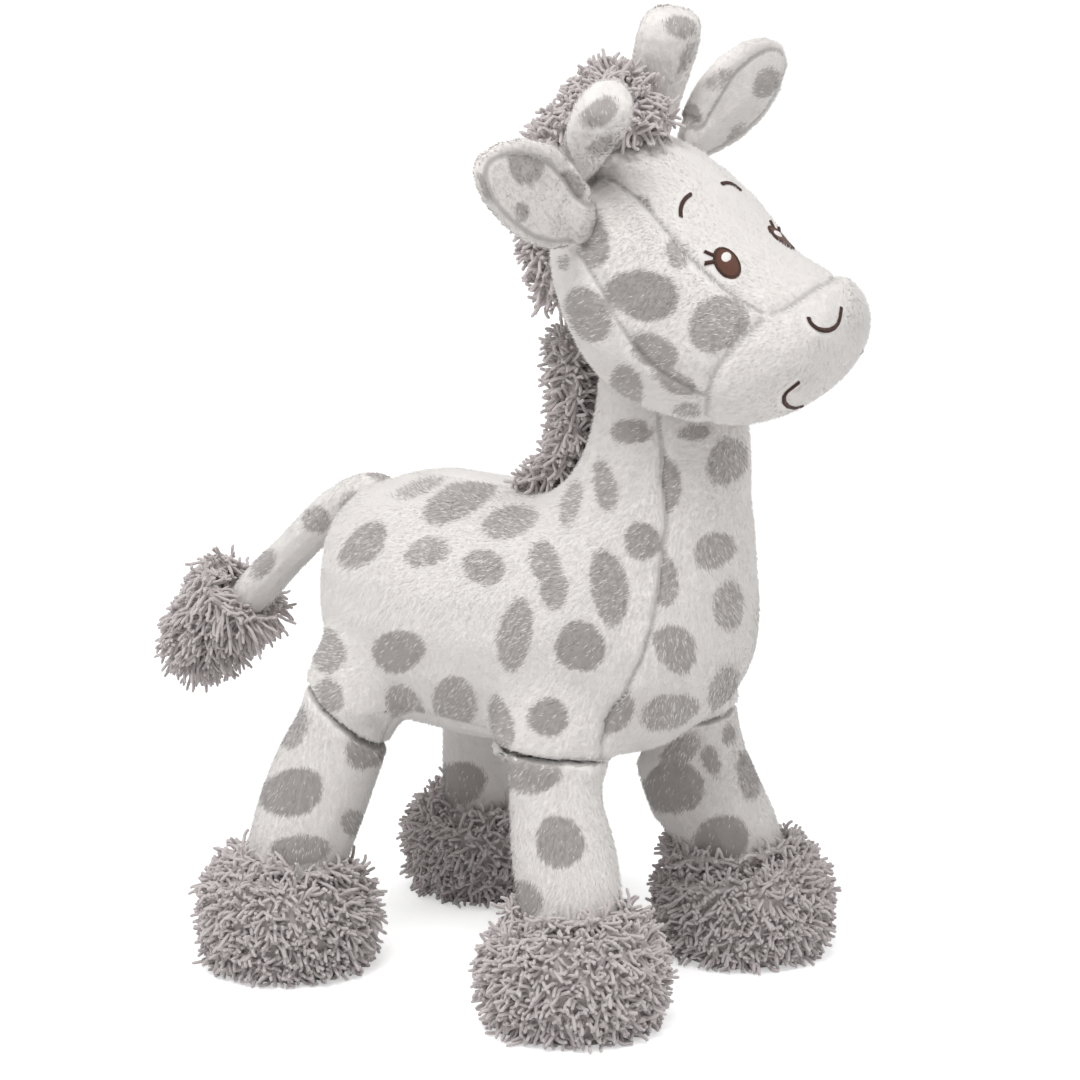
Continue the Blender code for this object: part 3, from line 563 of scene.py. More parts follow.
@dataclass
class SpotPrint:
    """The grey spots printed on the plush cloth.

    Those that the photograph shows lie where it shows them. The sides that it doesn't show get spots
    of the same kind, spread evenly from a fixed seed.
    """

    spots: tuple[Spot, ...] = PHOTO_SPOTS
    seed: int = 11
    clear_mm: float = 3.4
    most_stretch: float = 2.0
    marks: dict[str, list[Mark]] = field(default_factory=dict)

    def lay(self, skins: dict[str, "Skin"]) -> None:
        """Find the skin and the place of every spot.

        Args:
            skins: Every plush skin by name.
        """
        trees = {name: tree_of(skin.item) for name, skin in skins.items()}
        self.marks = {name: [] for name in skins}
        for index, spot in enumerate(self.spots):
            way = VIEW.ray(spot.pixel)
            hits = [(tree.ray_cast(VIEW.place, way), name) for name, tree in trees.items()]
            hits = [(hit, name) for hit, name in hits if hit[0] is not None]
            if not hits:
                LOG.warning("a spot at %s meets no skin", spot.pixel)
                continue
            hit, name = min(hits, key=lambda pair: pair[0][3])
            skin = skins[name]
            if skin.printed:
                self.marks[name].append(self.mark_of(spot, hit[0], hit[1], skin.panel_at(hit[0]), index))
        for name, skin in skins.items():
            if skin.printed:
                self.fill_unseen(name, skin, trees)

    def mark_of(self, spot: Spot, centre: Vector, normal: Vector, panel: int, index: int) -> Mark:
        """Lay one spot of the photograph on the plane that touches the skin."""
        axes = []
        turn = math.radians(spot.tilt)
        for reach, angle in ((spot.width / 2, turn), (spot.height / 2, turn + math.pi / 2)):
            aim = (spot.pixel[0] + reach * math.cos(angle), spot.pixel[1] - reach * math.sin(angle))
            way = VIEW.ray(aim)
            depth = (centre - VIEW.place).dot(normal) / min(way.dot(normal), -0.1)
            axis = VIEW.place + way * depth - centre
            flat = reach / VIEW.frame_pixels * VIEW.sensor / VIEW.lens * VIEW.distance
            axes.append(axis * min(1.0, self.most_stretch * flat / axis.length))
        return Mark(centre.copy(), axes[0], axes[1], spot.tone, panel, float(index), normal.copy(), spot)

    def fill_unseen(self, name: str, skin: "Skin", trees: dict[str, BVHTree]) -> None:
        """Spread spots over the parts of a skin that the photograph doesn't show."""
        source = random.Random(self.seed + len(name))
        places, normals = get_points(skin.item), get_normals(skin.item)
        taken = [(mark.centre, max(mark.across.length, mark.up.length)) for mark in self.marks[name]]
        tries = int(len(places) * 0.05)
        for _ in range(tries):
            index = source.randrange(len(places))
            centre, normal = Vector(places[index]), Vector(normals[index])
            long = source.uniform(6.5, 10.5) * MM * skin.spot_scale
            short = long * source.uniform(0.62, 0.9)
            if self.is_seen(centre, normal, long, trees) or skin.is_plain(centre):
                continue
            gap = self.clear_mm * MM
            if any((centre - other).length < long + reach + gap for other, reach in taken):
                continue
            across = normal.orthogonal().normalized()
            across.rotate(Matrix.Rotation(source.uniform(0, math.tau), 3, normal))
            up = normal.cross(across)
            taken.append((centre, (long + short) / 2))
            self.marks[name].append(Mark(centre, across * long, up * short, source.uniform(0.4, 1.0),
                                         skin.panel_at(centre), source.uniform(0, 99), normal))

    def is_seen(self, centre: Vector, normal: Vector, reach: float, trees: dict[str, BVHTree]) -> bool:
        """Whether the photograph shows a place on a skin."""
        toward = (VIEW.place - centre).normalized()
        if normal.dot(toward) < -0.35:
            return False
        start = centre + normal * reach / 2 + toward * MM
        return all(tree.ray_cast(start, toward)[0] is None for tree in trees.values())

    def in_photo(self, spot: Spot, pixels: np.ndarray) -> tuple[np.ndarray, np.ndarray]:
        """Where some pixels lie along a spot's two axes, as shares of its half width and half height."""
        turn = math.radians(spot.tilt)
        offset = pixels - np.array(spot.pixel)
        first = offset[:, 0] * math.cos(turn) - offset[:, 1] * math.sin(turn)
        second = -offset[:, 0] * math.sin(turn) - offset[:, 1] * math.cos(turn)
        return first / (spot.width / 2), second / (spot.height / 2)

    def press(self, name: str, skin: "Skin") -> None:
        """Write how far each vertex of a skin lies inside a spot, and the spot's tone."""
        places, normals = get_points(skin.item), get_normals(skin.item)
        seen = VIEW.pixels_of(places)
        inside = np.full(len(places), -9.0)
        tone = np.zeros(len(places))
        for mark in self.marks[name]:
            reach = max(mark.across.length, mark.up.length)
            near = np.nonzero(np.linalg.norm(places - np.array(mark.centre), axis=1) < reach * 1.5)[0]
            if skin.panels is not None:
                near = near[skin.panels[near] == mark.panel]
            near = near[normals[near] @ np.array(mark.normal) > 0.12]
            if mark.spot:
                first, second = self.in_photo(mark.spot, seen[near])
            else:
                offset = places[near] - np.array(mark.centre)
                first = offset @ np.array(mark.across) / mark.across.length_squared
                second = offset @ np.array(mark.up) / mark.up.length_squared
            angle = np.arctan2(second, first)
            edge = 0.96 + 0.05 * np.sin(2 * angle + mark.wobble) + 0.03 * np.sin(3 * angle + 2 * mark.wobble)
            half = min(mark.across.length, mark.up.length)
            if mark.spot:
                half = min(mark.spot.width, mark.spot.height) / 2 * VIEW.pixel_size
            depth = (edge - np.hypot(first, second)) * half / MM
            better = depth > inside[near]
            inside[near[better]] = depth[better]
            tone[near[better]] = mark.tone
        store(skin.item, "spot", inside)
        store(skin.item, "tone", tone)


@dataclass
class Skin:
    """A plush skin over a stuffed form, with its panels, seams, nap and printed spots."""

    item: bpy.types.Object
    nap: Vector
    printed: bool = True
    spot_scale: float = 1.0
    panels: np.ndarray | None = None
    plain_panels: tuple[int, ...] = ()
    furred: int | None = None
    seam_depth: float = 1.2 * MM
    seam_width: float = 2.0 * MM
    pucker: float = 0.35 * MM

    def classify(self, nodes: list[str]) -> None:
        """Give each vertex the CAD panel that it is nearest to.

        Args:
            nodes: The panels, whose places in the list become their numbers.
        """
        depsgraph = bpy.context.evaluated_depsgraph_get()
        trees = [BVHTree.FromObject(FRAME["nodes"][node], depsgraph) for node in nodes]
        places = [Vector(place) for place in get_points(self.item)]
        gaps = np.array([[tree.find_nearest(place)[3] for place in places] for tree in trees])
        self.panels = gaps.argmin(0)

    def panel_at(self, place: Vector) -> int:
        """The number of the panel at a place."""
        if self.panels is None:
            return 0
        offsets = get_points(self.item) - np.array(place)
        return int(self.panels[(offsets ** 2).sum(1).argmin()])

    def is_plain(self, place: Vector) -> bool:
        """Whether the place lies on a panel with no print."""
        return bool(self.plain_panels) and self.panel_at(place) in self.plain_panels

    def seam_points(self) -> list[np.ndarray]:
        """Smoothed points of the lines where unlike panels meet."""
        if self.panels is None:
            return []
        pairs = get_edges(self.item)
        places = get_points(self.item)
        kinds = np.sort(self.panels[pairs], axis=1)
        found = []
        for kind in np.unique(kinds[kinds[:, 0] != kinds[:, 1]], axis=0):
            chosen = pairs[(kinds == kind).all(1)]
            middles = places[chosen].mean(1)
            tree = KDTree(len(middles))
            for index, middle in enumerate(middles):
                tree.insert(middle, index)
            tree.balance()
            near = [[hit[1] for hit in tree.find_range(middle, 3 * MM)] for middle in middles]
            found.append(np.array([middles[group].mean(0) for group in near]))
        return found

    def sew(self, extra: list[np.ndarray] | None = None) -> None:
        """Sink the seams, pucker the cloth beside them and write the distance to them.

        Args:
            extra: Points of further seams.
        """
        lines = self.seam_points() + (extra or [])
        places, normals = get_points(self.item), get_normals(self.item)
        gap = np.full(len(places), 50.0)
        if lines:
            points = np.concatenate(lines)
            tree = KDTree(len(points))
            for index, point in enumerate(points):
                tree.insert(point, index)
            tree.balance()
            gap = np.array([tree.find(place)[2] for place in places]) / MM
        width = self.seam_width / MM
        groove = self.seam_depth * np.exp(-(gap / width) ** 2 * 1.6)
        beside = np.exp(-((gap - 3.0) / 4.0) ** 2)
        wave = ripple(places, 9 * MM, 5, 2) * self.pucker * beside
        soft = ripple(places, 34 * MM, 8, 2) * 0.35 * MM
        set_points(self.item, places + normals * (wave + soft - groove)[:, None])
        store(self.item, "seam", gap)

    def comb(self) -> None:
        """Write the way that the pile lies, along the surface."""
        normals = get_normals(self.item)
        way = np.array(self.nap)[None, :] + np.zeros_like(normals)
        swirl = get_points(self.item)
        way = way + 0.35 * np.stack([ripple(swirl, 45 * MM, 21), ripple(swirl, 45 * MM, 22),
                                     ripple(swirl, 45 * MM, 23)], 1)
        way -= normals * (way * normals).sum(1)[:, None]
        way /= np.maximum(np.linalg.norm(way, axis=1), 1e-6)[:, None]
        store(self.item, "nap", way, "FLOAT_VECTOR")


SEAM_ROUNDS = 36


def cut_across(body: bpy.types.Object, planes: list[tuple[Vector, Vector]]) -> None:
    """Give a mesh an edge line along each of some planes, each given by a point and a normal."""
    edit = bmesh.new()
    edit.from_mesh(body.data)
    for place, normal in planes:
        near = [face for face in edit.faces if (face.verts[0].co - place).length < 40 * MM]
        edges = {edge for face in near for edge in face.edges}
        verts = {vertex for face in near for vertex in face.verts}
        made = bmesh.ops.bisect_plane(edit, geom=near + list(edges) + list(verts), plane_co=place,
                                      plane_no=normal, dist=0.05 * MM)["geom_cut"]
        line = {part for part in made if isinstance(part, bmesh.types.BMVert)}
        for _ in range(SEAM_ROUNDS):
            beside = {vertex: [edge.other_vert(vertex) for edge in vertex.link_edges
                               if edge.other_vert(vertex) in line] for vertex in line}
            moved = {vertex: (others[0].co + others[1].co + vertex.co * 2) / 4
                     for vertex, others in beside.items() if len(others) == 2}
            for vertex, spot in moved.items():
                vertex.co = spot
    edit.to_mesh(body.data)
    edit.free()


def find_leg(body: bpy.types.Object, place: Vector, down: Vector, foot: Vector) -> np.ndarray:
    """Find the part of the body's mesh that is one leg.

    Args:
        body: The body's mesh, with an edge line along the plane.
        place: A point of the plane.
        down: The plane's normal, towards the foot.
        foot: A point near the foot.

    Returns:
        Whether each vertex belongs to the leg, with the line itself left out.
    """
    places = get_points(body)
    below = (places - np.array(place)) @ np.array(down) > 0.06 * MM
    pairs = get_edges(body)
    inside = below[pairs].all(1)
    label = np.arange(len(places))
    joined = pairs[inside]
    while True:
        before = label.copy()
        low = np.minimum(label[joined[:, 0]], label[joined[:, 1]])
        np.minimum.at(label, joined[:, 0], low)
        np.minimum.at(label, joined[:, 1], low)
        label = label[label]
        if (label == before).all():
            break
    start = ((places - np.array(foot)) ** 2).sum(1).argmin()
    return (label == label[start]) & below


def take_part(body: bpy.types.Object, name: str, chosen: np.ndarray) -> bpy.types.Object:
    """Copy some vertices of a mesh, and the faces that touch them, to a new object.

    Args:
        body: The mesh object.
        name: The new object's name.
        chosen: Whether each vertex is taken.

    Returns:
        The new object, open along its edge.
    """
    edit = bmesh.new()
    edit.from_mesh(body.data)
    edit.verts.ensure_lookup_table()
    for index, vertex in enumerate(edit.verts):
        vertex.tag = bool(chosen[index])
    spare = [face for face in edit.faces if not any(vertex.tag for vertex in face.verts)]
    bmesh.ops.delete(edit, geom=spare, context="FACES")
    loose = [vertex for vertex in edit.verts if not vertex.link_faces]
    bmesh.ops.delete(edit, geom=loose, context="VERTS")
    mesh = bpy.data.meshes.new(name)
    edit.to_mesh(mesh)
    edit.free()
    item = new_object(name, mesh)
    item.data.shade_smooth()
    return item


RIM_ROUNDS = 4


def roll_in(item: bpy.types.Object, steps: tuple[tuple[float, float], ...], way: Vector) -> None:
    """Close the open edge of a skin with a rim that rolls in and a cap behind it.

    Args:
        item: The open mesh.
        steps: How far each ring lies inwards and along the way, in metres.
        way: The way from the skin to its cap.
    """
    edit = bmesh.new()
    edit.from_mesh(item.data)
    edges = [edge for edge in edit.edges if edge.is_boundary]
    loops = []
    left = set(edges)
    while left:
        stack = [left.pop()]
        loop = set(stack)
        while stack:
            edge = stack.pop()
            for vertex in edge.verts:
                for other in vertex.link_edges:
                    if other in left:
                        left.remove(other)
                        loop.add(other)
                        stack.append(other)
        loops.append(list(loop))
    for loop in loops:
        ring = {vertex for edge in loop for vertex in edge.verts}
        middle = sum((vertex.co for vertex in ring), Vector()) / len(ring)
        start = {vertex: vertex.co.copy() for vertex in ring}
        current = loop
        origin = {vertex: vertex for vertex in ring}
        for inward, along in steps:
            made = bmesh.ops.extrude_edge_only(edit, edges=current)["geom"]
            fresh = [part for part in made if isinstance(part, bmesh.types.BMVert)]
            linked = {}
            for vertex in fresh:
                for edge in vertex.link_edges:
                    other = edge.other_vert(vertex)
                    if other in origin:
                        linked[vertex] = origin[other]
            for vertex, source in linked.items():
                toward = middle - start[source]
                reach = min(inward, toward.length * 0.9)
                vertex.co = start[source] + toward.normalized() * reach + way * along
            origin = linked
            current = [part for part in made if isinstance(part, bmesh.types.BMEdge)]
        bmesh.ops.contextual_create(edit, geom=current)
        beside = ring | {edge.other_vert(vertex) for vertex in ring for edge in vertex.link_edges}
        for _ in range(RIM_ROUNDS):
            bmesh.ops.smooth_vert(edit, verts=list(beside), factor=0.5, use_axis_x=True, use_axis_y=True,
                                  use_axis_z=True)
    bmesh.ops.recalc_face_normals(edit, faces=edit.faces)
    if edit.calc_volume(signed=True) < 0:
        bmesh.ops.reverse_faces(edit, faces=edit.faces)
    bmesh.ops.triangulate(edit, faces=[face for face in edit.faces if len(face.verts) > 4])
    edit.to_mesh(item.data)
    edit.free()
    item.data.shade_smooth()


@dataclass(frozen=True)
class Palette:
    """Colours of the toy, in linear values."""

    fur: Colour = (0.84, 0.81, 0.785, 1)
    pale: Colour = (0.62, 0.59, 0.575, 1)
    dark: Colour = (0.425, 0.395, 0.38, 1)
    chenille: Colour = (0.58, 0.53, 0.525, 1)
    thread: Colour = (0.050, 0.017, 0.009, 1)
    iris: Colour = (0.120, 0.042, 0.022, 1)
    white: Colour = (0.86, 0.84, 0.81, 1)
    sole: Colour = (0.52, 0.48, 0.47, 1)
    lining: Colour = (0.80, 0.765, 0.74, 1)


PALETTE = Palette()


def shader_tree(name: str) -> tuple[bpy.types.Material, bpy.types.NodeTree, bpy.types.Node]:
    """Make a material and return it with its tree and its Principled shader."""
    material = bpy.data.materials.new(name)
    material.use_nodes = True
    tree = material.node_tree
    return material, tree, tree.nodes["Principled BSDF"]


def numbers(tree: bpy.types.NodeTree, name: str) -> bpy.types.NodeSocket:
    """Read a per-vertex number in a shader."""
    return add_node(tree, "ShaderNodeAttribute", attribute_name=name).outputs["Fac"]


def smoothstep(tree: bpy.types.NodeTree, value: bpy.types.NodeSocket, low: float, high: float):
    """Map a number smoothly from 0 at low to 1 at high."""
    return add_node(tree, "ShaderNodeMapRange", {"Value": value, "From Min": low, "From Max": high},
                    interpolation_type="SMOOTHSTEP").outputs["Result"]


@dataclass(frozen=True)
class PlushFinish:
    """Short-pile plush with its grey print, and painted shade along its seams."""

    name: str
    fur: Colour = PALETTE.fur
    pale: Colour = PALETTE.pale
    dark: Colour = PALETTE.dark
    roughness: float = 0.95
    sheen: float = 0.35
    streak_scale: float = 520.0
    edge_mm: float = 0.9

    def build(self) -> bpy.types.Material:
        """Make the material.

        Returns:
            A material that reads the attributes spot, tone and seam, and darkens the seams with painted shade.
        """
        material, tree, shader = shader_tree(self.name)
        place = add_node(tree, "ShaderNodeTexCoord").outputs["Object"]
        ragged = add_node(tree, "ShaderNodeTexNoise", {"Vector": place, "Scale": 430.0, "Detail": 3.0})
        shift = maths(tree, "MULTIPLY_ADD", ragged.outputs[0], 2.4, -1.2)
        spot = maths(tree, "ADD", numbers(tree, "spot"), shift)
        mask = smoothstep(tree, spot, -self.edge_mm, self.edge_mm)
        grey = mix_colour(tree, numbers(tree, "tone"), self.pale, self.dark)
        colour = mix_colour(tree, mask, self.fur, grey)
        streak = add_node(tree, "ShaderNodeTexNoise",
                          {"Vector": place, "Scale": self.streak_scale, "Detail": 4.0, "Roughness": 0.65})
        shade = maths(tree, "MULTIPLY_ADD", streak.outputs[0], 0.34, 0.80, clamp=True)
        grain = add_node(tree, "ShaderNodeCombineColor", {0: shade, 1: shade, 2: shade}).outputs[0]
        colour = mix_colour(tree, 1.0, colour, grain, "MULTIPLY")
        # Painted shade: the colour darkens to 0.58 of itself in the middle of each seam, as if the groove lay in
        # shade.
        gap = smoothstep(tree, numbers(tree, "seam"), 0.2, 1.5)
        seam_shade_level = maths(tree, "MULTIPLY_ADD", gap, 0.42, 0.58)
        seam_shade = add_node(tree, "ShaderNodeCombineColor", {0: seam_shade_level, 1: seam_shade_level, 2: seam_shade_level}).outputs[0]
        colour = mix_colour(tree, 1.0, colour, seam_shade, "MULTIPLY")
        tree.links.new(colour, shader.inputs["Base Color"])
        bump = add_node(tree, "ShaderNodeBump", {"Height": streak.outputs[0], "Strength": 0.55,
                                                 "Distance": 0.5 * MM})
        tree.links.new(bump.outputs[0], shader.inputs["Normal"])
        shader.inputs["Roughness"].default_value = self.roughness
        shader.inputs["Specular IOR Level"].default_value = 0.1
        shader.inputs["Sheen Weight"].default_value = self.sheen
        shader.inputs["Sheen Roughness"].default_value = 0.6
        return material


@dataclass(frozen=True)
class FibreFinish:
    """One plain colour of fibre, thread or cloth."""

    name: str
    colour: Colour
    roughness: float = 0.9
    specular: float = 0.1
    sheen: float = 0.3

    def build(self) -> bpy.types.Material:
        """Make the material."""
        material, _, shader = shader_tree(self.name)
        shader.inputs["Base Color"].default_value = self.colour
        shader.inputs["Roughness"].default_value = self.roughness
        shader.inputs["Specular IOR Level"].default_value = self.specular
        shader.inputs["Sheen Weight"].default_value = self.sheen
        shader.inputs["Sheen Roughness"].default_value = 0.6
        return material


class Workshop:
    """The toy's materials, each made once."""

    def __init__(self) -> None:
        self.plush = PlushFinish("printed_plush").build()
        self.lining = PlushFinish("ear_lining_plush", fur=PALETTE.lining).build()
        self.light_pile = FibreFinish("light_pile", PALETTE.fur).build()
        self.grey_pile = FibreFinish("grey_pile", PALETTE.dark).build()
        self.chenille = FibreFinish("chenille_yarn", PALETTE.chenille, sheen=0.5).build()
        # The backing is the yarn colour darkened to 0.85: painted shade for the gaps between the yarns.
        self.backing = FibreFinish("chenille_backing", tuple(0.85 * part for part in PALETTE.chenille[:3])
                                   + (1,)).build()
        self.thread = FibreFinish("brown_thread", PALETTE.thread, 0.55, 0.35, 0.1).build()
        self.iris = FibreFinish("iris_thread", PALETTE.iris, 0.5, 0.35, 0.1).build()
        self.white = FibreFinish("white_thread", PALETTE.white, 0.6, 0.3, 0.1).build()
        self.sole = FibreFinish("sole_cloth", PALETTE.sole).build()


@dataclass(frozen=True)
class Motion:
    """What a visual piece follows: one body, or a blend from one body to another whose ends are held here but not
    applied.
    """

    body: str
    next_body: str = ""
    start: tuple[float, float, float] = (0, 0, 0)
    end: tuple[float, float, float] = (0, 0, 0)

    def give(self, item: bpy.types.Object) -> None:
        """Parent a finished piece to its body; a piece with a next body only gets its transform baked into its mesh.
        """
        if self.next_body:
            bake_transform(item)
        else:
            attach(item, self.body)


class NodeCoat:
    """A Geometry Nodes tree that covers or replaces a mesh, and the modifier that runs it."""

    def __init__(self, name: str, inputs: dict[str, tuple[str, float]]) -> None:
        self.tree = bpy.data.node_groups.new(name, "GeometryNodeTree")
        face = self.tree.interface
        face.new_socket("Geometry", in_out="INPUT", socket_type="NodeSocketGeometry")
        self.keys = {}
        for label, (kind, value) in inputs.items():
            socket = face.new_socket(label, in_out="INPUT", socket_type=kind)
            if value is not None:
                socket.default_value = value
            self.keys[label] = socket.identifier
        face.new_socket("Geometry", in_out="OUTPUT", socket_type="NodeSocketGeometry")
        self.start = add_node(self.tree, "NodeGroupInput")
        self.end = add_node(self.tree, "NodeGroupOutput")

    def add(self, kind: str, inputs: dict | None = None, **settings) -> bpy.types.Node:
        """Add a node to the tree."""
        return add_node(self.tree, kind, inputs, **settings)

    def named(self, kind: str, name: str) -> bpy.types.NodeSocket:
        """Read an attribute of the geometry."""
        return self.add("GeometryNodeInputNamedAttribute", {"Name": name}, data_type=kind).outputs[0]

    def run(self, source: bpy.types.Object, name: str, values: dict, material: bpy.types.Material):
        """Run the tree on a copy of a mesh.

        Args:
            source: The mesh object, which stays as it is.
            name: The new object's name.
            values: Values of the tree's inputs by name.
            material: Material of what the tree makes.

        Returns:
            A new plain mesh object.
        """
        item = new_object(name, source.data.copy())
        coat = item.modifiers.new("Coat", "NODES")
        coat.node_group = self.tree
        for label, value in values.items():
            coat[self.keys[label]] = value
        coat[self.keys["Material"]] = material
        apply_modifiers(item)
        item.data.name = name
        return item


class StrandCoat(NodeCoat):
    """Chenille: soft round-ended yarn ends that stand out from a backing."""

    def __init__(self) -> None:
        number = "NodeSocketFloat"
        super().__init__("chenille_strands", {
            "Spacing": (number, 1.5 * MM), "Length": (number, 8 * MM), "Thickness": (number, 0.85 * MM),
            "Curl": (number, 2.6 * MM), "Droop": (number, 1.2 * MM), "Lowest": (number, -1.0),
            "Seed": ("NodeSocketInt", 0), "Material": ("NodeSocketMaterial", None)})
        self.build()

    def build(self) -> None:
        """Lay out the nodes."""
        start, add = self.start.outputs, self.add
        spread = add("GeometryNodeDistributePointsOnFaces",
                     {"Mesh": start["Geometry"], "Distance Min": start["Spacing"], "Density Max": 9e5,
                      "Density Factor": self.named("FLOAT", "coat"), "Seed": start["Seed"]},
                     distribute_method="POISSON")
        line = add("GeometryNodeCurvePrimitiveLine", {"Start": (0, 0, 0), "End": (0, 0, 1)})
        line = add("GeometryNodeResampleCurve", {"Curve": line.outputs[0], "Count": 7})
        unit = add("ShaderNodeSeparateXYZ", {0: add("GeometryNodeInputPosition").outputs[0]})
        eased = maths(self.tree, "SINE", maths(self.tree, "MULTIPLY", unit.outputs[2], math.pi / 2))
        eased = add("ShaderNodeCombineXYZ", {2: eased})
        line = add("GeometryNodeSetPosition", {"Geometry": line.outputs[0], "Position": eased.outputs[0]})
        jitter = add("FunctionNodeRandomValue", {0: (-0.95, -0.95, 0), 1: (0.95, 0.95, math.tau),
                                                 "Seed": start["Seed"]}, data_type="FLOAT_VECTOR")
        turn = add("FunctionNodeEulerToRotation", {0: jitter.outputs[0]})
        turn = add("FunctionNodeRotateRotation",
                   {"Rotation": spread.outputs["Rotation"], "Rotate By": turn.outputs[0]},
                   rotation_space="LOCAL")
        share = add("FunctionNodeRandomValue", {2: 0.82, 3: 1.14, "Seed": start["Seed"]},
                    data_type="FLOAT")
        long = maths(self.tree, "MULTIPLY", share.outputs[1], start["Length"])
        size = add("ShaderNodeCombineXYZ", {0: long, 1: long, 2: long})
        yarns = add("GeometryNodeInstanceOnPoints",
                    {"Points": spread.outputs[0], "Instance": line.outputs[0], "Rotation": turn.outputs[0],
                     "Scale": size.outputs[0]})
        lot = add("FunctionNodeRandomValue", {2: 0.0, 3: 60.0, "Seed": 7}, data_type="FLOAT")
        tagged = add("GeometryNodeStoreNamedAttribute",
                     {"Geometry": yarns.outputs[0], "Name": "yarn", "Value": lot.outputs[1]},
                     data_type="FLOAT", domain="INSTANCE")
        real = add("GeometryNodeRealizeInstances", {"Geometry": tagged.outputs[0]})
        along = add("GeometryNodeSplineParameter").outputs["Factor"]
        bend = maths(self.tree, "POWER", along, 1.3)
        place = add("GeometryNodeInputPosition").outputs[0]
        noise = add("ShaderNodeTexNoise", {"Vector": place, "W": self.named("FLOAT", "yarn"), "Scale": 150.0,
                                           "Detail": 1.0}, noise_dimensions="4D")
        centred = add("ShaderNodeVectorMath", {0: noise.outputs["Color"], 1: (0.5, 0.5, 0.5)},
                      operation="SUBTRACT")
        reach = maths(self.tree, "MULTIPLY", bend, start["Curl"])
        reach = maths(self.tree, "MULTIPLY", reach, 4.0)
        curl = add("ShaderNodeVectorMath", {0: centred.outputs[0], "Scale": reach}, operation="SCALE")
        fall = maths(self.tree, "MULTIPLY", maths(self.tree, "MULTIPLY", bend, start["Droop"]), -1.0)
        fall = add("ShaderNodeCombineXYZ", {2: fall})
        shift = add("ShaderNodeVectorMath", {0: curl.outputs[0], 1: fall.outputs[0]}, operation="ADD")
        bent = add("GeometryNodeSetPosition", {"Geometry": real.outputs[0], "Offset": shift.outputs[0]})
        place = add("GeometryNodeInputPosition").outputs[0]
        parts = add("ShaderNodeSeparateXYZ", {0: place})
        high = maths(self.tree, "MAXIMUM", parts.outputs[2], start["Lowest"])
        floored = add("ShaderNodeCombineXYZ", {0: parts.outputs[0], 1: parts.outputs[1], 2: high})
        kept = add("GeometryNodeSetPosition", {"Geometry": bent.outputs[0], "Position": floored.outputs[0]})
        tip = maths(self.tree, "POWER", along, 40.0)
        tip = maths(self.tree, "MULTIPLY_ADD", tip, -0.6, 1.0)
        thick = maths(self.tree, "MULTIPLY", tip, start["Thickness"])
        sized = add("GeometryNodeSetCurveRadius", {"Curve": kept.outputs[0], "Radius": thick})
        ring = add("GeometryNodeCurvePrimitiveCircle", {"Resolution": 5, "Radius": 1.0})
        tubes = add("GeometryNodeCurveToMesh", {"Curve": sized.outputs[0], "Profile Curve": ring.outputs[0],
                                                "Fill Caps": True})
        if "Scale" in tubes.inputs:
            self.tree.links.new(thick, tubes.inputs["Scale"])
        smooth = add("GeometryNodeSetShadeSmooth", {"Geometry": tubes.outputs[0]})
        painted = add("GeometryNodeSetMaterial",
                      {"Geometry": smooth.outputs[0], "Material": start["Material"]})
        self.tree.links.new(painted.outputs[0], self.end.inputs[0])


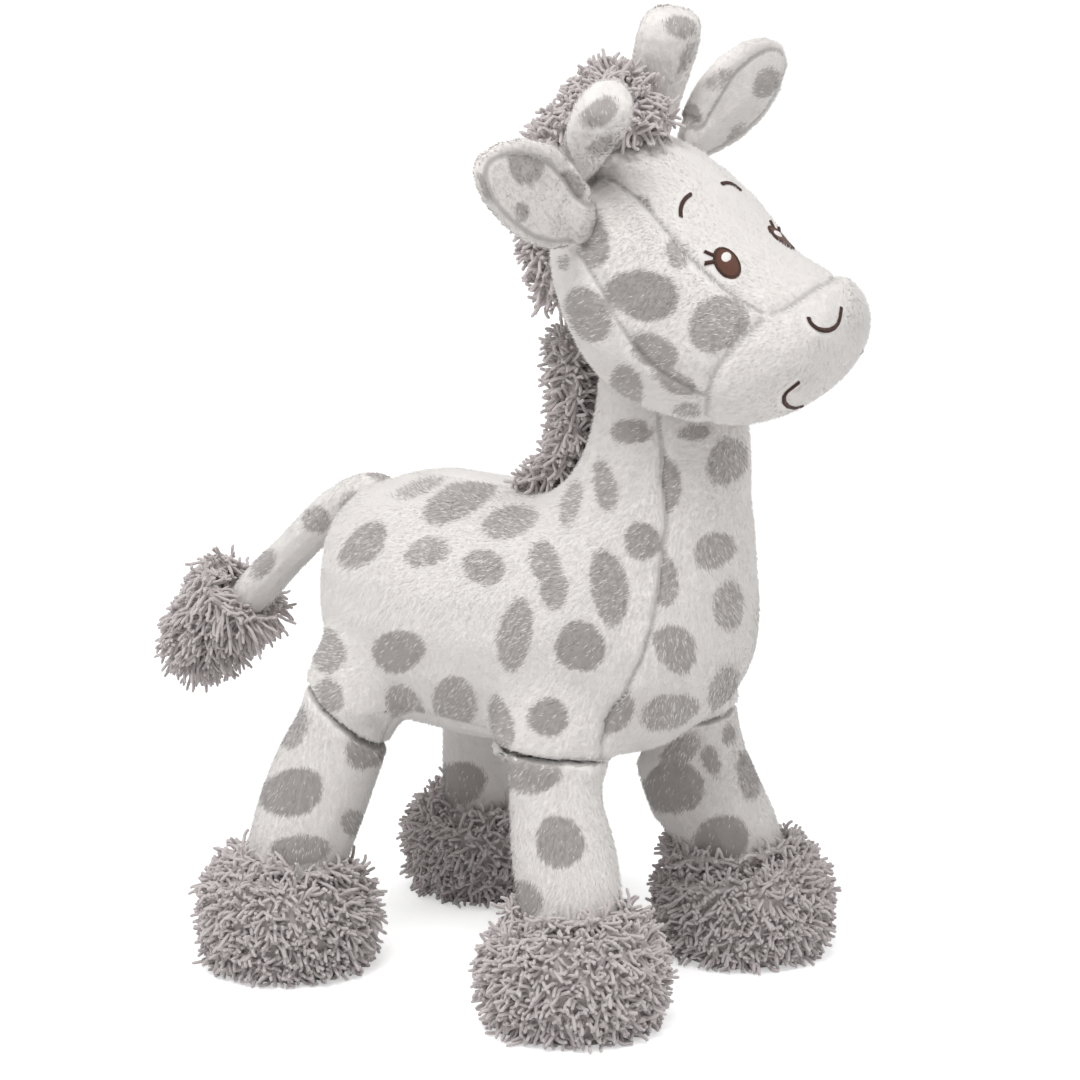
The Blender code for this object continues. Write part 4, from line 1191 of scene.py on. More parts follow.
class PileCoat(NodeCoat):
    """Short pile: slim blades that lie along the nap."""

    def __init__(self) -> None:
        number = "NodeSocketFloat"
        super().__init__("pile_blades", {
            "Density": (number, 2.5e6), "Length": (number, 1.8 * MM), "Width": (number, 0.30 * MM),
            "Grey": (number, 0.0), "Seed": ("NodeSocketInt", 0), "Material": ("NodeSocketMaterial", None)})
        self.build()

    def build(self) -> None:
        """Lay out the nodes."""
        start, add, tree = self.start.outputs, self.add, self.tree
        bare = maths(tree, "GREATER_THAN", self.named("FLOAT", "seam"), 0.9)
        shown = maths(tree, "GREATER_THAN", self.named("FLOAT", "coat"), 0.5)
        shown = maths(tree, "MULTIPLY", bare, shown)
        spread = add("GeometryNodeDistributePointsOnFaces",
                     {"Mesh": start["Geometry"], "Density": start["Density"], "Seed": start["Seed"]},
                     distribute_method="RANDOM")
        grown = add("GeometryNodeStoreNamedAttribute",
                    {"Geometry": spread.outputs[0], "Name": "under", "Value": spread.outputs["Normal"]},
                    data_type="FLOAT_VECTOR", domain="POINT")
        chance = add("FunctionNodeRandomValue", {2: 0.0, 3: 1.0, "Seed": 3}, data_type="FLOAT").outputs[1]
        depth = maths(tree, "MULTIPLY_ADD", self.named("FLOAT", "tone"), 0.35, 0.62)
        inside = maths(tree, "MULTIPLY_ADD", self.named("FLOAT", "spot"), 0.9, 0.5, clamp=True)
        grey = maths(tree, "LESS_THAN", chance, maths(tree, "MULTIPLY", inside, depth))
        match = maths(tree, "COMPARE", grey, start["Grey"], 0.1)
        chosen = maths(tree, "MULTIPLY", match, shown)
        nap = self.named("FLOAT_VECTOR", "nap")
        lean = add("ShaderNodeVectorMath", {0: nap, "Scale": 0.95}, operation="SCALE")
        rise = add("ShaderNodeVectorMath", {0: self.named("FLOAT_VECTOR", "under"), "Scale": 0.5},
                   operation="SCALE")
        way = add("ShaderNodeVectorMath", {0: lean.outputs[0], 1: rise.outputs[0]}, operation="ADD")
        stray = add("FunctionNodeRandomValue", {0: (-0.32,) * 3, 1: (0.32,) * 3, "Seed": 5},
                    data_type="FLOAT_VECTOR")
        way = add("ShaderNodeVectorMath", {0: way.outputs[0], 1: stray.outputs[0]}, operation="ADD")
        aligned = add("FunctionNodeAlignRotationToVector", {"Vector": way.outputs[0]}, axis="Z")
        inward = add("ShaderNodeVectorMath", {0: self.named("FLOAT_VECTOR", "under"), "Scale": -1.0},
                     operation="SCALE")
        aligned = add("FunctionNodeAlignRotationToVector",
                      {"Rotation": aligned.outputs[0], "Vector": inward.outputs[0]}, axis="X",
                      pivot_axis="Z")
        spin = add("FunctionNodeRandomValue", {2: -0.7, 3: 0.7, "Seed": 9}, data_type="FLOAT")
        spun = add("ShaderNodeCombineXYZ", {2: spin.outputs[1]})
        spun = add("FunctionNodeEulerToRotation", {0: spun.outputs[0]})
        turned = add("FunctionNodeRotateRotation",
                     {"Rotation": aligned.outputs[0], "Rotate By": spun.outputs[0]}, rotation_space="LOCAL")
        blade = add("GeometryNodeMeshCircle", {"Vertices": 3, "Radius": 1.0}, fill_type="NGON")
        blade = add("GeometryNodeTransform", {"Geometry": blade.outputs[0], "Translation": (0.4, 0, 0)})
        blade = add("GeometryNodeTransform",
                    {"Geometry": blade.outputs[0], "Rotation": (0, -math.pi / 2, 0),
                     "Scale": (1 / 1.5, 1 / 1.732, 1)})
        share = add("FunctionNodeRandomValue", {2: 0.7, 3: 1.15, "Seed": 6}, data_type="FLOAT")
        long = maths(tree, "MULTIPLY", share.outputs[1], start["Length"])
        size = add("ShaderNodeCombineXYZ", {0: start["Width"], 1: start["Width"], 2: long})
        blades = add("GeometryNodeInstanceOnPoints",
                     {"Points": grown.outputs[0], "Selection": chosen, "Instance": blade.outputs[0],
                      "Rotation": turned.outputs[0], "Scale": size.outputs[0]})
        real = add("GeometryNodeRealizeInstances", {"Geometry": blades.outputs[0]})
        painted = add("GeometryNodeSetMaterial", {"Geometry": real.outputs[0], "Material": start["Material"]})
        self.tree.links.new(painted.outputs[0], self.end.inputs[0])


class ThreadCoat(NodeCoat):
    """Embroidery: each polyline of a mesh becomes a round thread."""

    def __init__(self) -> None:
        super().__init__("threads", {"Thickness": ("NodeSocketFloat", 0.17 * MM),
                                     "Material": ("NodeSocketMaterial", None)})
        start, add = self.start.outputs, self.add
        curves = add("GeometryNodeMeshToCurve", {"Mesh": start["Geometry"]})
        sized = add("GeometryNodeSetCurveRadius", {"Curve": curves.outputs[0], "Radius": start["Thickness"]})
        ring = add("GeometryNodeCurvePrimitiveCircle", {"Resolution": 6, "Radius": 1.0})
        tubes = add("GeometryNodeCurveToMesh", {"Curve": sized.outputs[0], "Profile Curve": ring.outputs[0],
                                                "Fill Caps": True})
        if "Scale" in tubes.inputs:
            self.tree.links.new(start["Thickness"], tubes.inputs["Scale"])
        smooth = add("GeometryNodeSetShadeSmooth", {"Geometry": tubes.outputs[0]})
        painted = add("GeometryNodeSetMaterial",
                      {"Geometry": smooth.outputs[0], "Material": start["Material"]})
        real = add("GeometryNodeRealizeInstances", {"Geometry": painted.outputs[0]})
        self.tree.links.new(real.outputs[0], self.end.inputs[0])


@dataclass
class Bench:
    """What every sub-assembly works with: the materials and the node trees."""

    shop: Workshop = field(default_factory=Workshop)
    strands: StrandCoat = field(default_factory=StrandCoat)
    pile: PileCoat = field(default_factory=PileCoat)
    threads: ThreadCoat = field(default_factory=ThreadCoat)

    def cover(self, skin: Skin, motion: Motion, material: bpy.types.Material, slot: Slot,
              nodes: tuple[str, ...], fill: float = 0.85) -> None:
        """Paint a finished skin and let it follow the frame.

        Args:
            skin: The skin.
            motion: What it follows.
            material: Its material.
            slot: Its material slot in the record; not used.
            nodes: CAD nodes that it stands for.
            fill: How full it is stuffed; not used.
        """
        item = skin.item
        item.data.materials.clear()
        item.data.materials.append(material)
        motion.give(item)
        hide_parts(*nodes)

    def grow_pile(self, skin: Skin, motion: Motion, slot: Slot, density: float = 2.5e6,
                  length: float = 1.8 * MM) -> None:
        """Grow light and grey pile on a skin.

        Args:
            skin: The finished skin.
            motion: What it follows.
            slot: Its material slot in the record; not used.
            density: Blades per square metre.
            length: Length of a blade.
        """
        for grey, material, label in ((0.0, self.shop.light_pile, "light"), (1.0, self.shop.grey_pile, "grey")):
            values = {"Grey": grey, "Density": density, "Length": length}
            item = self.pile.run(skin.item, f"{skin.item.name}_{label}_pile", values, material)
            if not len(item.data.vertices):
                bpy.data.objects.remove(item)
                continue
            smooth_by_attribute(item, "under")
            motion.give(item)


def smooth_by_attribute(item: bpy.types.Object, name: str) -> None:
    """Shade a mesh with normals from one of its vector attributes."""
    values = np.zeros(len(item.data.vertices) * 3, np.float32)
    item.data.attributes[name].data.foreach_get("vector", values)
    item.data.shade_smooth()
    item.data.normals_split_custom_set_from_vertices(values.reshape(-1, 3).tolist())


@dataclass
class Body:
    """The body with its neck, and the four legs that are sewn to it."""

    bench: Bench
    caps: dict[str, Vector] = field(default_factory=dict)
    skins: dict[str, Skin] = field(default_factory=dict)
    motions: dict[str, Motion] = field(default_factory=dict)
    nodes: dict[str, tuple[str, ...]] = field(default_factory=dict)

    PANELS = ("right_side_panel", "left_side_panel", "chest_panel", "belly_panel")
    HIPS = {("front", Side.RIGHT): ((-32.434, -54.346, 79.5), 0.0),
            ("front", Side.LEFT): ((37.946, -54.346, 79.5), 0.0),
            ("rear", Side.RIGHT): ((-31.414, 22.654, 77.9), 34.0),
            ("rear", Side.LEFT): ((36.926, 22.654, 77.9), 34.0)}
    FEET = {("front", Side.RIGHT): (-42.8, -69.0, 20.0), ("front", Side.LEFT): (48.3, -69.0, 20.0),
            ("rear", Side.RIGHT): (-49.2, 37.4, 20.0), ("rear", Side.LEFT): (54.7, 37.4, 20.0)}
    IN_LEAN = {"front": -8.0, "rear": -20.0}
    CLOTH_INSIDE = 3.5 * MM
    ROLL = ((0.5 * MM, -0.1 * MM), (1.5 * MM, 0.4 * MM), (4.0 * MM, 0.2 * MM), (9.0 * MM, -1.0 * MM))

    def form(self) -> None:
        """Fuse the stuffed form and cut the legs off along their seams."""
        grow = {node: 1.0 * MM for node in self.PANELS}
        grow |= {"body_stuffing": 3.4 * MM, "neck_stuffing": 1.6 * MM}
        for end, side in self.HIPS:
            grow[f"{end}_{side.label}_leg_cover"] = 1.2 * MM
            grow[f"{end}_{side.label}_leg_stuffing"] = 3.2 * MM
        whole = fuse("body_cover", grow, 1.35 * MM, 22, 0.0, self.hip_plugs())
        smooth_near(whole, [Vector(place) * MM for place, _ in self.HIPS.values()], 38 * MM, 60)
        set_points(whole, get_points(whole) - get_normals(whole) * self.CLOTH_INSIDE)
        nudge(whole, NUDGES["body"])
        legs = {}
        for key, (place, lean) in self.HIPS.items():
            end, side = key
            inward = Matrix.Rotation(math.radians(self.IN_LEAN[end]) * side.value, 3, "Y")
            down = inward @ Matrix.Rotation(math.radians(lean), 3, "X") @ Vector((0, 0, -1))
            middle = Vector(place) * MM
            foot = Vector(self.FEET[key]) * MM
            legs[key] = (middle, down, foot)
        cut_across(whole, [(middle, down) for middle, down, _ in legs.values()])
        taken = np.zeros(len(whole.data.vertices), bool)
        for key, (middle, down, foot) in legs.items():
            end, side = key
            chosen = find_leg(whole, middle, down, foot)
            label = f"{end}_{side.label}_leg"
            item = take_part(whole, label, chosen)
            self.caps[label] = -down
            self.add(label, Skin(item, nap=Vector((0, 0.25, -1)), spot_scale=0.95),
                     Motion("root", label, tuple(middle + down * 3 * MM), tuple(middle + down * 15 * MM)),
                     (f"{label}_cover", f"{label}_stuffing"))
            taken |= chosen
        item = take_part(whole, "torso", ~taken & self.not_on_legs(whole, taken))
        nudge(item, NUDGES["torso"])
        self.caps["torso"] = Vector((0, 0, 0))
        bpy.data.objects.remove(whole)
        skin = Skin(item, nap=Vector((0, 0.75, -0.65)))
        skin.classify(list(self.PANELS))
        self.add("torso", skin, Motion("root", "neck", (0, -0.066, 0.160), (0, -0.071, 0.180)),
                 self.PANELS + ("body_stuffing", "neck_stuffing"))

    def hip_plugs(self) -> bpy.types.Mesh:
        """Solid balls that fill the rooms in which the CAD's legs swing."""
        edit = bmesh.new()
        for end, side in self.HIPS:
            place = joint_place(f"{end}_{side.label}_leg_swing") + Vector((0, 0, 4)) * MM
            bmesh.ops.create_icosphere(edit, subdivisions=3, radius=17.5 * MM,
                                       matrix=Matrix.Translation(place))
        mesh = bpy.data.meshes.new("hip_plugs")
        edit.to_mesh(mesh)
        edit.free()
        return mesh

    def not_on_legs(self, whole: bpy.types.Object, taken: np.ndarray) -> np.ndarray:
        """Leave the vertices of the cuts themselves to the faces that touch them."""
        pairs = get_edges(whole)
        beside = np.zeros(len(taken), bool)
        crossing = taken[pairs].any(1) & ~taken[pairs].all(1)
        beside[pairs[crossing].ravel()] = True
        return ~beside

    def add(self, name: str, skin: Skin, motion: Motion, nodes: tuple[str, ...]) -> None:
        """Keep a skin with what it follows and what it stands for."""
        self.skins[name] = skin
        self.motions[name] = motion
        self.nodes[name] = nodes

    def sew(self) -> None:
        """Sink the seams."""
        for name, skin in self.skins.items():
            skin.sew([self.rim(skin)])
            skin.furred = len(skin.item.data.vertices)
            roll_in(skin.item, self.ROLL, self.caps[name])
            if skin.panels is not None:
                skin.classify(list(self.PANELS))
            skin.comb()

    def rim(self, skin: Skin) -> np.ndarray:
        """Points of the seams between body and legs that lie close to a skin."""
        points = []
        for key, (place, lean) in self.HIPS.items():
            end, side = key
            inward = Matrix.Rotation(math.radians(self.IN_LEAN[end]) * side.value, 3, "Y")
            down = np.array(inward @ Matrix.Rotation(math.radians(lean), 3, "X") @ Vector((0, 0, -1)))
            offset = get_points(skin.item) - np.array(place) * MM
            near = (abs(offset @ down) < 0.7 * MM) & (np.linalg.norm(offset, axis=1) < 34 * MM)
            points.append(get_points(skin.item)[near])
        return np.concatenate(points)


@dataclass
class Head:
    """The head, with its panels and its embroidered face."""

    bench: Bench
    skins: dict[str, Skin] = field(default_factory=dict)
    motions: dict[str, Motion] = field(default_factory=dict)
    nodes: dict[str, tuple[str, ...]] = field(default_factory=dict)

    PANELS = ("right_cheek_panel", "left_cheek_panel", "forehead_panel", "muzzle_panel")
    PIVOT = Vector((2.756, -70.866, 180.02)) * MM
    MUZZLE = PANELS.index("muzzle_panel")
    FOREHEAD = PANELS.index("forehead_panel")
    MUZZLE_SEAM = ((846, 274), (815, 288), (790, 300), (765, 316), (745, 335), (728, 352), (715, 371),
                   (708, 392), (706, 420))
    MUZZLE_PUFF = 1.2 * MM
    BROW_SEAM = ((600, 172), (620, 183), (638, 196), (656, 216), (670, 232), (688, 252), (698, 264),
                 (718, 282), (736, 296), (748, 305), (757, 308))
    JAW_SEAM = ((576, 249), (588, 270), (600, 289), (616, 321), (631, 342), (648, 362), (664, 374), (680, 383),
                (704, 396))

    def __post_init__(self) -> None:
        turn = Matrix.Rotation(math.radians(7.5), 4, "Z") @ Matrix.Rotation(math.radians(-8), 4, "Y")
        self.frame = Matrix.Translation(self.PIVOT) @ turn

    def form(self) -> None:
        """Fuse the stuffed head."""
        grow = {node: 0.0 for node in self.PANELS} | {"head_stuffing": 3.0 * MM}
        item = fuse("head", grow, 1.15 * MM, 18, -2.3 * MM)
        skin = Skin(item, nap=Vector((0, 1, -0.35)), plain_panels=(2, 3), seam_depth=1.1 * MM)
        skin.classify(list(self.PANELS))
        self.skins["head"] = skin
        self.set_forehead(skin)
        self.set_muzzle(skin)
        self.motions["head"] = Motion("head")
        self.nodes["head"] = self.PANELS + ("head_stuffing",)

    def set_forehead(self, skin: Skin) -> None:
        """Move the forehead's two seams to where the photograph shows the near one."""
        back = np.array(self.frame.inverted())
        line = self.trace(list(self.BROW_SEAM)) @ back[:3, :3].T + back[:3, 3]
        line = line[line[:, 1].argsort()]
        places = get_points(skin.item) @ back[:3, :3].T + back[:3, 3]
        half = np.interp(places[:, 1], line[:, 1], abs(line[:, 0]))
        height = np.interp(places[:, 1], line[:, 1], line[:, 2])
        ranged = (places[:, 1] < line[-1, 1]) & (skin.panels != self.MUZZLE) & (places[:, 2] > height - 9 * MM)
        inside = abs(places[:, 0]) < half
        skin.panels[ranged & inside] = self.FOREHEAD
        skin.panels[ranged & ~inside] = (places[ranged & ~inside, 0] > 0).astype(int)

    def set_muzzle(self, skin: Skin) -> None:
        """Move the muzzle's seam to where the photograph shows it, and puff the muzzle out behind it."""
        back = np.array(self.frame.inverted())
        line = self.trace(list(self.MUZZLE_SEAM)) @ back[:3, :3].T + back[:3, 3]
        order = line[:, 2].argsort()
        places = get_points(skin.item) @ back[:3, :3].T + back[:3, 3]
        edge = np.interp(places[:, 2], line[order, 2], line[order, 1])
        ahead = edge - places[:, 1]
        was_muzzle = skin.panels == self.MUZZLE
        skin.panels[was_muzzle & (ahead <= 0)] = 0
        left = places[:, 0] > 0
        skin.panels[was_muzzle & (ahead <= 0) & left] = 1
        skin.panels[ahead > 0] = self.MUZZLE
        share = np.clip(ahead / (9 * MM), 0, 1)
        rise = self.MUZZLE_PUFF * np.sin(share * math.pi / 2) * (ahead > 0)
        set_points(skin.item, get_points(skin.item) + get_normals(skin.item) * rise[:, None])

    def trace(self, pixels: list[Pixel], step: float = 1.2 * MM) -> np.ndarray:
        """Lay a line of the photograph on the head.

        Args:
            pixels: The line's corners.
            step: Distance between the points of the result.

        Returns:
            Points as rows, evenly spaced.
        """
        tree = tree_of(self.skins["head"].item)
        fine = spread_line(np.array(pixels, float), 2.0)
        hits = [tree.ray_cast(VIEW.place, VIEW.ray(tuple(pixel)))[0] for pixel in fine]
        return spread_line(np.array([hit for hit in hits if hit is not None]), step)

    def mirrored(self, points: np.ndarray) -> np.ndarray:
        """Mirror points to the head's other side and lay them on the skin."""
        tree = tree_of(self.skins["head"].item)
        flip = self.frame @ Matrix.Diagonal((-1, 1, 1, 1)) @ self.frame.inverted()
        return np.array([tree.find_nearest(flip @ Vector(point))[0] for point in points])

    def sew(self) -> None:
        """Sink the seams, with the one along the jaw."""
        jaw = self.trace(list(self.JAW_SEAM))
        self.skins["head"].sew([jaw, self.mirrored(jaw)])
        self.skins["head"].comb()


def spread_line(points: np.ndarray, step: float) -> np.ndarray:
    """Space the points of a line evenly."""
    lengths = np.linalg.norm(np.diff(points, axis=0), axis=1)
    along = np.concatenate([[0], np.cumsum(lengths)])
    count = max(2, int(round(along[-1] / step)) + 1)
    wanted = np.linspace(0, along[-1], count)
    return np.stack([np.interp(wanted, along, points[:, axis]) for axis in range(points.shape[1])], 1)


@dataclass
class Embroidery:
    """Eyes, lashes, brows, nose and mouth, in satin stitch on the head."""

    bench: Bench
    head: Head
    pitch: float = 0.27 * MM
    mirroring: bool = True
    dark: list[np.ndarray] = field(default_factory=list)
    brown: list[np.ndarray] = field(default_factory=list)
    light: list[np.ndarray] = field(default_factory=list)

    EYE = ((726.7, 263.3), (9.8, 14.55), (9.7, -6.0))
    GLINT = ((725.2, 258.6), (2.6, 4.6), (5.0, -3.0))
    FAR_SHIFT = Vector((-2.8, 0, -2.2)) * MM
    LASHES = (((713.5, 255.6), (709.0, 253.8), (704.6, 251.8)), ((713.6, 262.0), (709.5, 262.6), (704.8, 263.4)))
    BROW = ((690.5, 194.5), (685, 198.8), (681.7, 204), (680.2, 210), (680.6, 217))
    NOSE = ((808.5, 318.0), (809.3, 321.5), (812.6, 325.6), (817.5, 329), (823.3, 330.6), (829, 330.2),
            (833.8, 328.0), (837.2, 324.2), (839.2, 319.0), (840.8, 308.5))
    MOUTH = ((798.6, 382.3), (792.4, 387.2), (786.6, 391.6), (783.6, 396.5), (784, 402), (788, 406.3),
             (794, 407.6), (802, 405.2))

    def stitch(self) -> None:
        """Make all stitches and the two pieces of thread."""
        self.tree = tree_of(self.head.skins["head"].item)
        self.oval(self.EYE, 0.65 * MM, self.brown)
        self.column(self.outline(self.EYE), 0.95 * MM)
        self.oval(self.GLINT, 1.15 * MM, self.light)
        for line in self.LASHES + (self.BROW,):
            self.column(list(line), 1.1 * MM)
        self.column(list(self.MOUTH), 1.15 * MM)
        self.mirroring = False
        self.column(list(self.NOSE), 1.25 * MM)
        self.clear_pile()
        self.build("dark_embroidery", self.dark, self.bench.shop.thread)
        self.build("iris_embroidery", self.brown, self.bench.shop.iris)
        self.build("light_embroidery", self.light, self.bench.shop.white)

    def clear_pile(self) -> None:
        """Keep the pile off the embroidery."""
        head = self.head.skins["head"].item
        points = np.concatenate(self.dark + self.brown + self.light)
        tree = KDTree(len(points))
        for index, point in enumerate(points):
            tree.insert(point, index)
        tree.balance()
        gap = np.array([tree.find(place)[2] for place in get_points(head)]) / MM
        store(head, "coat", np.clip((gap - 0.9) / 0.5, 0, 1))

    def build(self, name: str, lines: list[np.ndarray], material: bpy.types.Material) -> None:
        """Turn stitch lines into threads that ride on the head."""
        mesh = bpy.data.meshes.new(name + "_lines")
        points = np.concatenate(lines)
        edges = []
        first = 0
        for line in lines:
            edges += [(first + index, first + index + 1) for index in range(len(line) - 1)]
            first += len(line)
        mesh.from_pydata(points.tolist(), edges, [])
        source = new_object(name + "_lines", mesh)
        item = self.bench.threads.run(source, name, {"Thickness": 0.19 * MM}, material)
        bpy.data.objects.remove(source)
        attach(item, "head")

    def lay(self, points: list[Vector], heights: list[float], target: list[np.ndarray]) -> None:
        """Add a stitch, and its like on the head's other side.

        Args:
            points: Places near the skin.
            heights: Height of each place above the skin.
            target: List that gets the stitches.
        """
        target.append(np.array([self.on_skin(point, height) for point, height in zip(points, heights)]))
        if self.mirroring:
            frame = self.head.frame
            flip = frame @ Matrix.Translation(self.FAR_SHIFT) @ Matrix.Diagonal((-1, 1, 1, 1)) @ frame.inverted()
            target.append(np.array([self.on_skin(flip @ Vector(point), height)
                                    for point, height in zip(points, heights)]))

    def on_skin(self, point: Vector, height: float) -> np.ndarray:
        """The place above the skin that is nearest to a point."""
        place, normal, _, _ = self.tree.find_nearest(Vector(point))
        return np.array(place + normal * height)

    def oval(self, shape: tuple[Pixel, Pixel, Pixel], height: float, target: list) -> None:
        """Fill an oval of the photograph with parallel stitches on a low dome.

        Args:
            shape: Middle, and the two half axes in pixels.
            height: Height of the dome.
            target: List that gets the stitches.
        """
        centre, long, short = (np.array(part) for part in shape)
        pixels = math.hypot(*long) * 2
        rows = int(pixels * 0.31 * MM / self.pitch)
        source = random.Random(4)
        for row in range(rows + 1):
            up = -1 + 2 * (row + 0.5) / (rows + 1)
            half = math.sqrt(max(0.0, 1 - up * up))
            ends = half * (1 + source.uniform(-0.03, 0.05)), half * (1 + source.uniform(-0.03, 0.05))
            line = []
            for share in np.linspace(-ends[0], ends[1], 9):
                pixel = centre + long * up + short * share
                hit = self.tree.ray_cast(VIEW.place, VIEW.ray((pixel[0], pixel[1])))[0]
                if hit is None:
                    continue
                line.append(hit)
            if len(line) < 3:
                continue
            shares = np.linspace(-ends[0], ends[1], len(line))
            rises = [height * math.sqrt(max(0.02, 1 - up * up * 0.9 - share * share * 0.95))
                     for share in shares]
            self.lay(line, rises, target)

    def outline(self, shape: tuple[Pixel, Pixel, Pixel]) -> list[Pixel]:
        """The line round an oval, a little inside its edge."""
        centre, long, short = (np.array(part) for part in shape)
        turns = np.linspace(0, math.tau, 33)
        return [tuple(centre + 0.9 * (long * math.sin(turn) + short * math.cos(turn))) for turn in turns]

    def column(self, pixels: list[Pixel], width: float) -> None:
        """Lay a satin column along a line: short stitches across it, arched over the skin.

        Args:
            pixels: The line on the photograph.
            width: Width of the column.
        """
        path = self.head.trace(pixels, self.pitch)
        source = random.Random(8)
        for index, point in enumerate(path):
            before, after = path[max(index - 1, 0)], path[min(index + 1, len(path) - 1)]
            along = Vector(after - before).normalized()
            _, normal, _, _ = self.tree.find_nearest(Vector(point))
            across = (normal.cross(along) + along * 0.35).normalized()
            half = width / 2 * (1 + source.uniform(-0.10, 0.10))
            shares = (-1, -0.6, -0.2, 0.2, 0.6, 1)
            self.lay([Vector(point) + across * half * share for share in shares],
                     [(0.12 + 0.42 * math.cos(share * math.pi / 2)) * MM for share in shares], self.dark)


@dataclass
class Fittings:
    """The ears, the horns and the tail."""

    bench: Bench
    skins: dict[str, Skin] = field(default_factory=dict)
    motions: dict[str, Motion] = field(default_factory=dict)
    nodes: dict[str, tuple[str, ...]] = field(default_factory=dict)

    EAR_BACK = (0.07645, 0.99665, 0.02894)
    EAR_SIZE = (46.0 * MM, 31.0 * MM)
    EAR_CURL = 3.0 * MM
    EAR_TRIM = {Side.LEFT: (42, 0.60, 1.0), Side.RIGHT: (154, 0.95, 0.78)}
    EAR_ROOT = {Side.LEFT: (8.5, 3.6, 9.5), Side.RIGHT: (10.5, 3.6, 9.5)}
    # From the root over the tip and back: length share, half width share, radius of the rolled rim in mm
    EAR_RIM = ((0.03, 0.35, 3.4), (0.22, 0.46, 3.3), (0.45, 0.54, 2.9), (0.68, 0.48, 2.3), (0.86, 0.34, 1.8),
               (0.97, 0.14, 1.4), (0.98, -0.12, 1.3), (0.86, -0.36, 1.3), (0.66, -0.50, 1.3),
               (0.43, -0.54, 1.3), (0.22, -0.47, 1.4), (0.03, -0.36, 1.5))

    def settle(self, label: str, line: np.ndarray) -> np.ndarray:
        """Move the points of a rim with the piece that it belongs to."""
        across, up = (np.array(way) * VIEW.pixel_size for way in VIEW.plane)
        return line + sum((across * each.right - up * each.down for each in NUDGES.get(label, ())), np.zeros(3))

    def ear_frame(self, side: Side) -> Matrix:
        """The frame of an ear's root: X out along the ear, Y to the back, Z along the root."""
        joint = next(each for each in FRAME["joints"] if each["name"] == f"{side.label}_ear_flap")
        along = Vector(joint["axis"]).normalized()
        back = Vector(self.EAR_BACK)
        back = (back - along * back.dot(along)).normalized()
        axes = Matrix((back.cross(along), back, along)).transposed()
        return Matrix.Translation(Vector(joint["pos_m"])) @ axes.to_4x4()

    def ear_rim(self, side: Side) -> tuple[np.ndarray, np.ndarray]:
        """The middle line of an ear's rolled rim, and its radius along the line."""
        length, width = self.EAR_SIZE
        table = spread_line(np.array([(share * length, half * width, radius * MM)
                                      for share, half, radius in self.EAR_RIM]), 1.5 * MM)
        inward = table[:, 1] - np.sign(table[:, 1]) * np.minimum(table[:, 2], abs(table[:, 1]))
        curl = -self.EAR_CURL * np.clip(table[:, 0] / length, 0.1, 1) * (abs(table[:, 1]) / width / 0.54) ** 2
        local = np.stack([table[:, 0] - table[:, 2] * 0.5, curl, inward * side.value], 1)
        frame = np.array(self.ear_frame(side))
        return local @ frame[:3, :3].T + frame[:3, 3], table[:, 2]

    def tube(self, points: np.ndarray, radii: np.ndarray) -> bpy.types.Mesh:
        """A closed tube of changing radius along a line."""
        curve = bpy.data.curves.new("rim", "CURVE")
        curve.dimensions = "3D"
        curve.bevel_depth = 1.0
        curve.use_fill_caps = True
        spline = curve.splines.new("POLY")
        spline.points.add(len(points) - 1)
        for point, place, radius in zip(spline.points, points, radii):
            point.co = (*place, 1)
            point.radius = radius
        item = bpy.data.objects.new("rim", curve)
        bpy.context.scene.collection.objects.link(item)
        bpy.context.view_layer.update()
        mesh = bpy.data.meshes.new_from_object(item.evaluated_get(bpy.context.evaluated_depsgraph_get()))
        bpy.data.objects.remove(item)
        return mesh

    def add_root(self, mesh: bpy.types.Mesh, side: Side) -> bpy.types.Mesh:
        """Add the stuffed root that holds an ear in the head's seam."""
        edit = bmesh.new()
        edit.from_mesh(mesh)
        size = Vector(self.EAR_ROOT[side]) * MM
        place = self.ear_frame(side) @ Matrix.Diagonal((*size, 1))
        bmesh.ops.create_icosphere(edit, subdivisions=3, radius=1.0, matrix=place)
        edit.to_mesh(mesh)
        edit.free()
        return mesh

    def form_ear(self, side: Side) -> None:
        """Make an ear: a padded leaf whose outer cloth rolls forward over the rim of its lining."""
        label = f"{side.label}_ear"
        line, radii = self.ear_rim(side)
        nodes = (f"{label}_outer", f"{label}_lining")
        extra = self.add_root(self.tube(line, radii), side)
        item = fuse(label, dict.fromkeys(nodes, -0.1 * MM), 0.6 * MM, 5, 0.2 * MM, extra)
        line = self.settle(label, line)
        skin = Skin(item, nap=self.ear_frame(side).to_3x3() @ Vector((1, 0, 0)), seam_depth=0.35 * MM,
                    seam_width=1.2 * MM, pucker=0.15 * MM, spot_scale=0.7)
        places = get_points(item)
        gap = np.min(np.linalg.norm(places[:, None] - line[None], axis=2) - radii[None], axis=1)
        front = get_normals(item) @ np.array(self.ear_frame(side).to_3x3() @ Vector((0, -1, 0)))
        skin.panels = ((gap > 0.7 * MM) & (front > 0.1)).astype(int)
        narrow(item, self.ear_frame(side).translation, *self.EAR_TRIM[side])
        self.keep(label, skin, nodes)

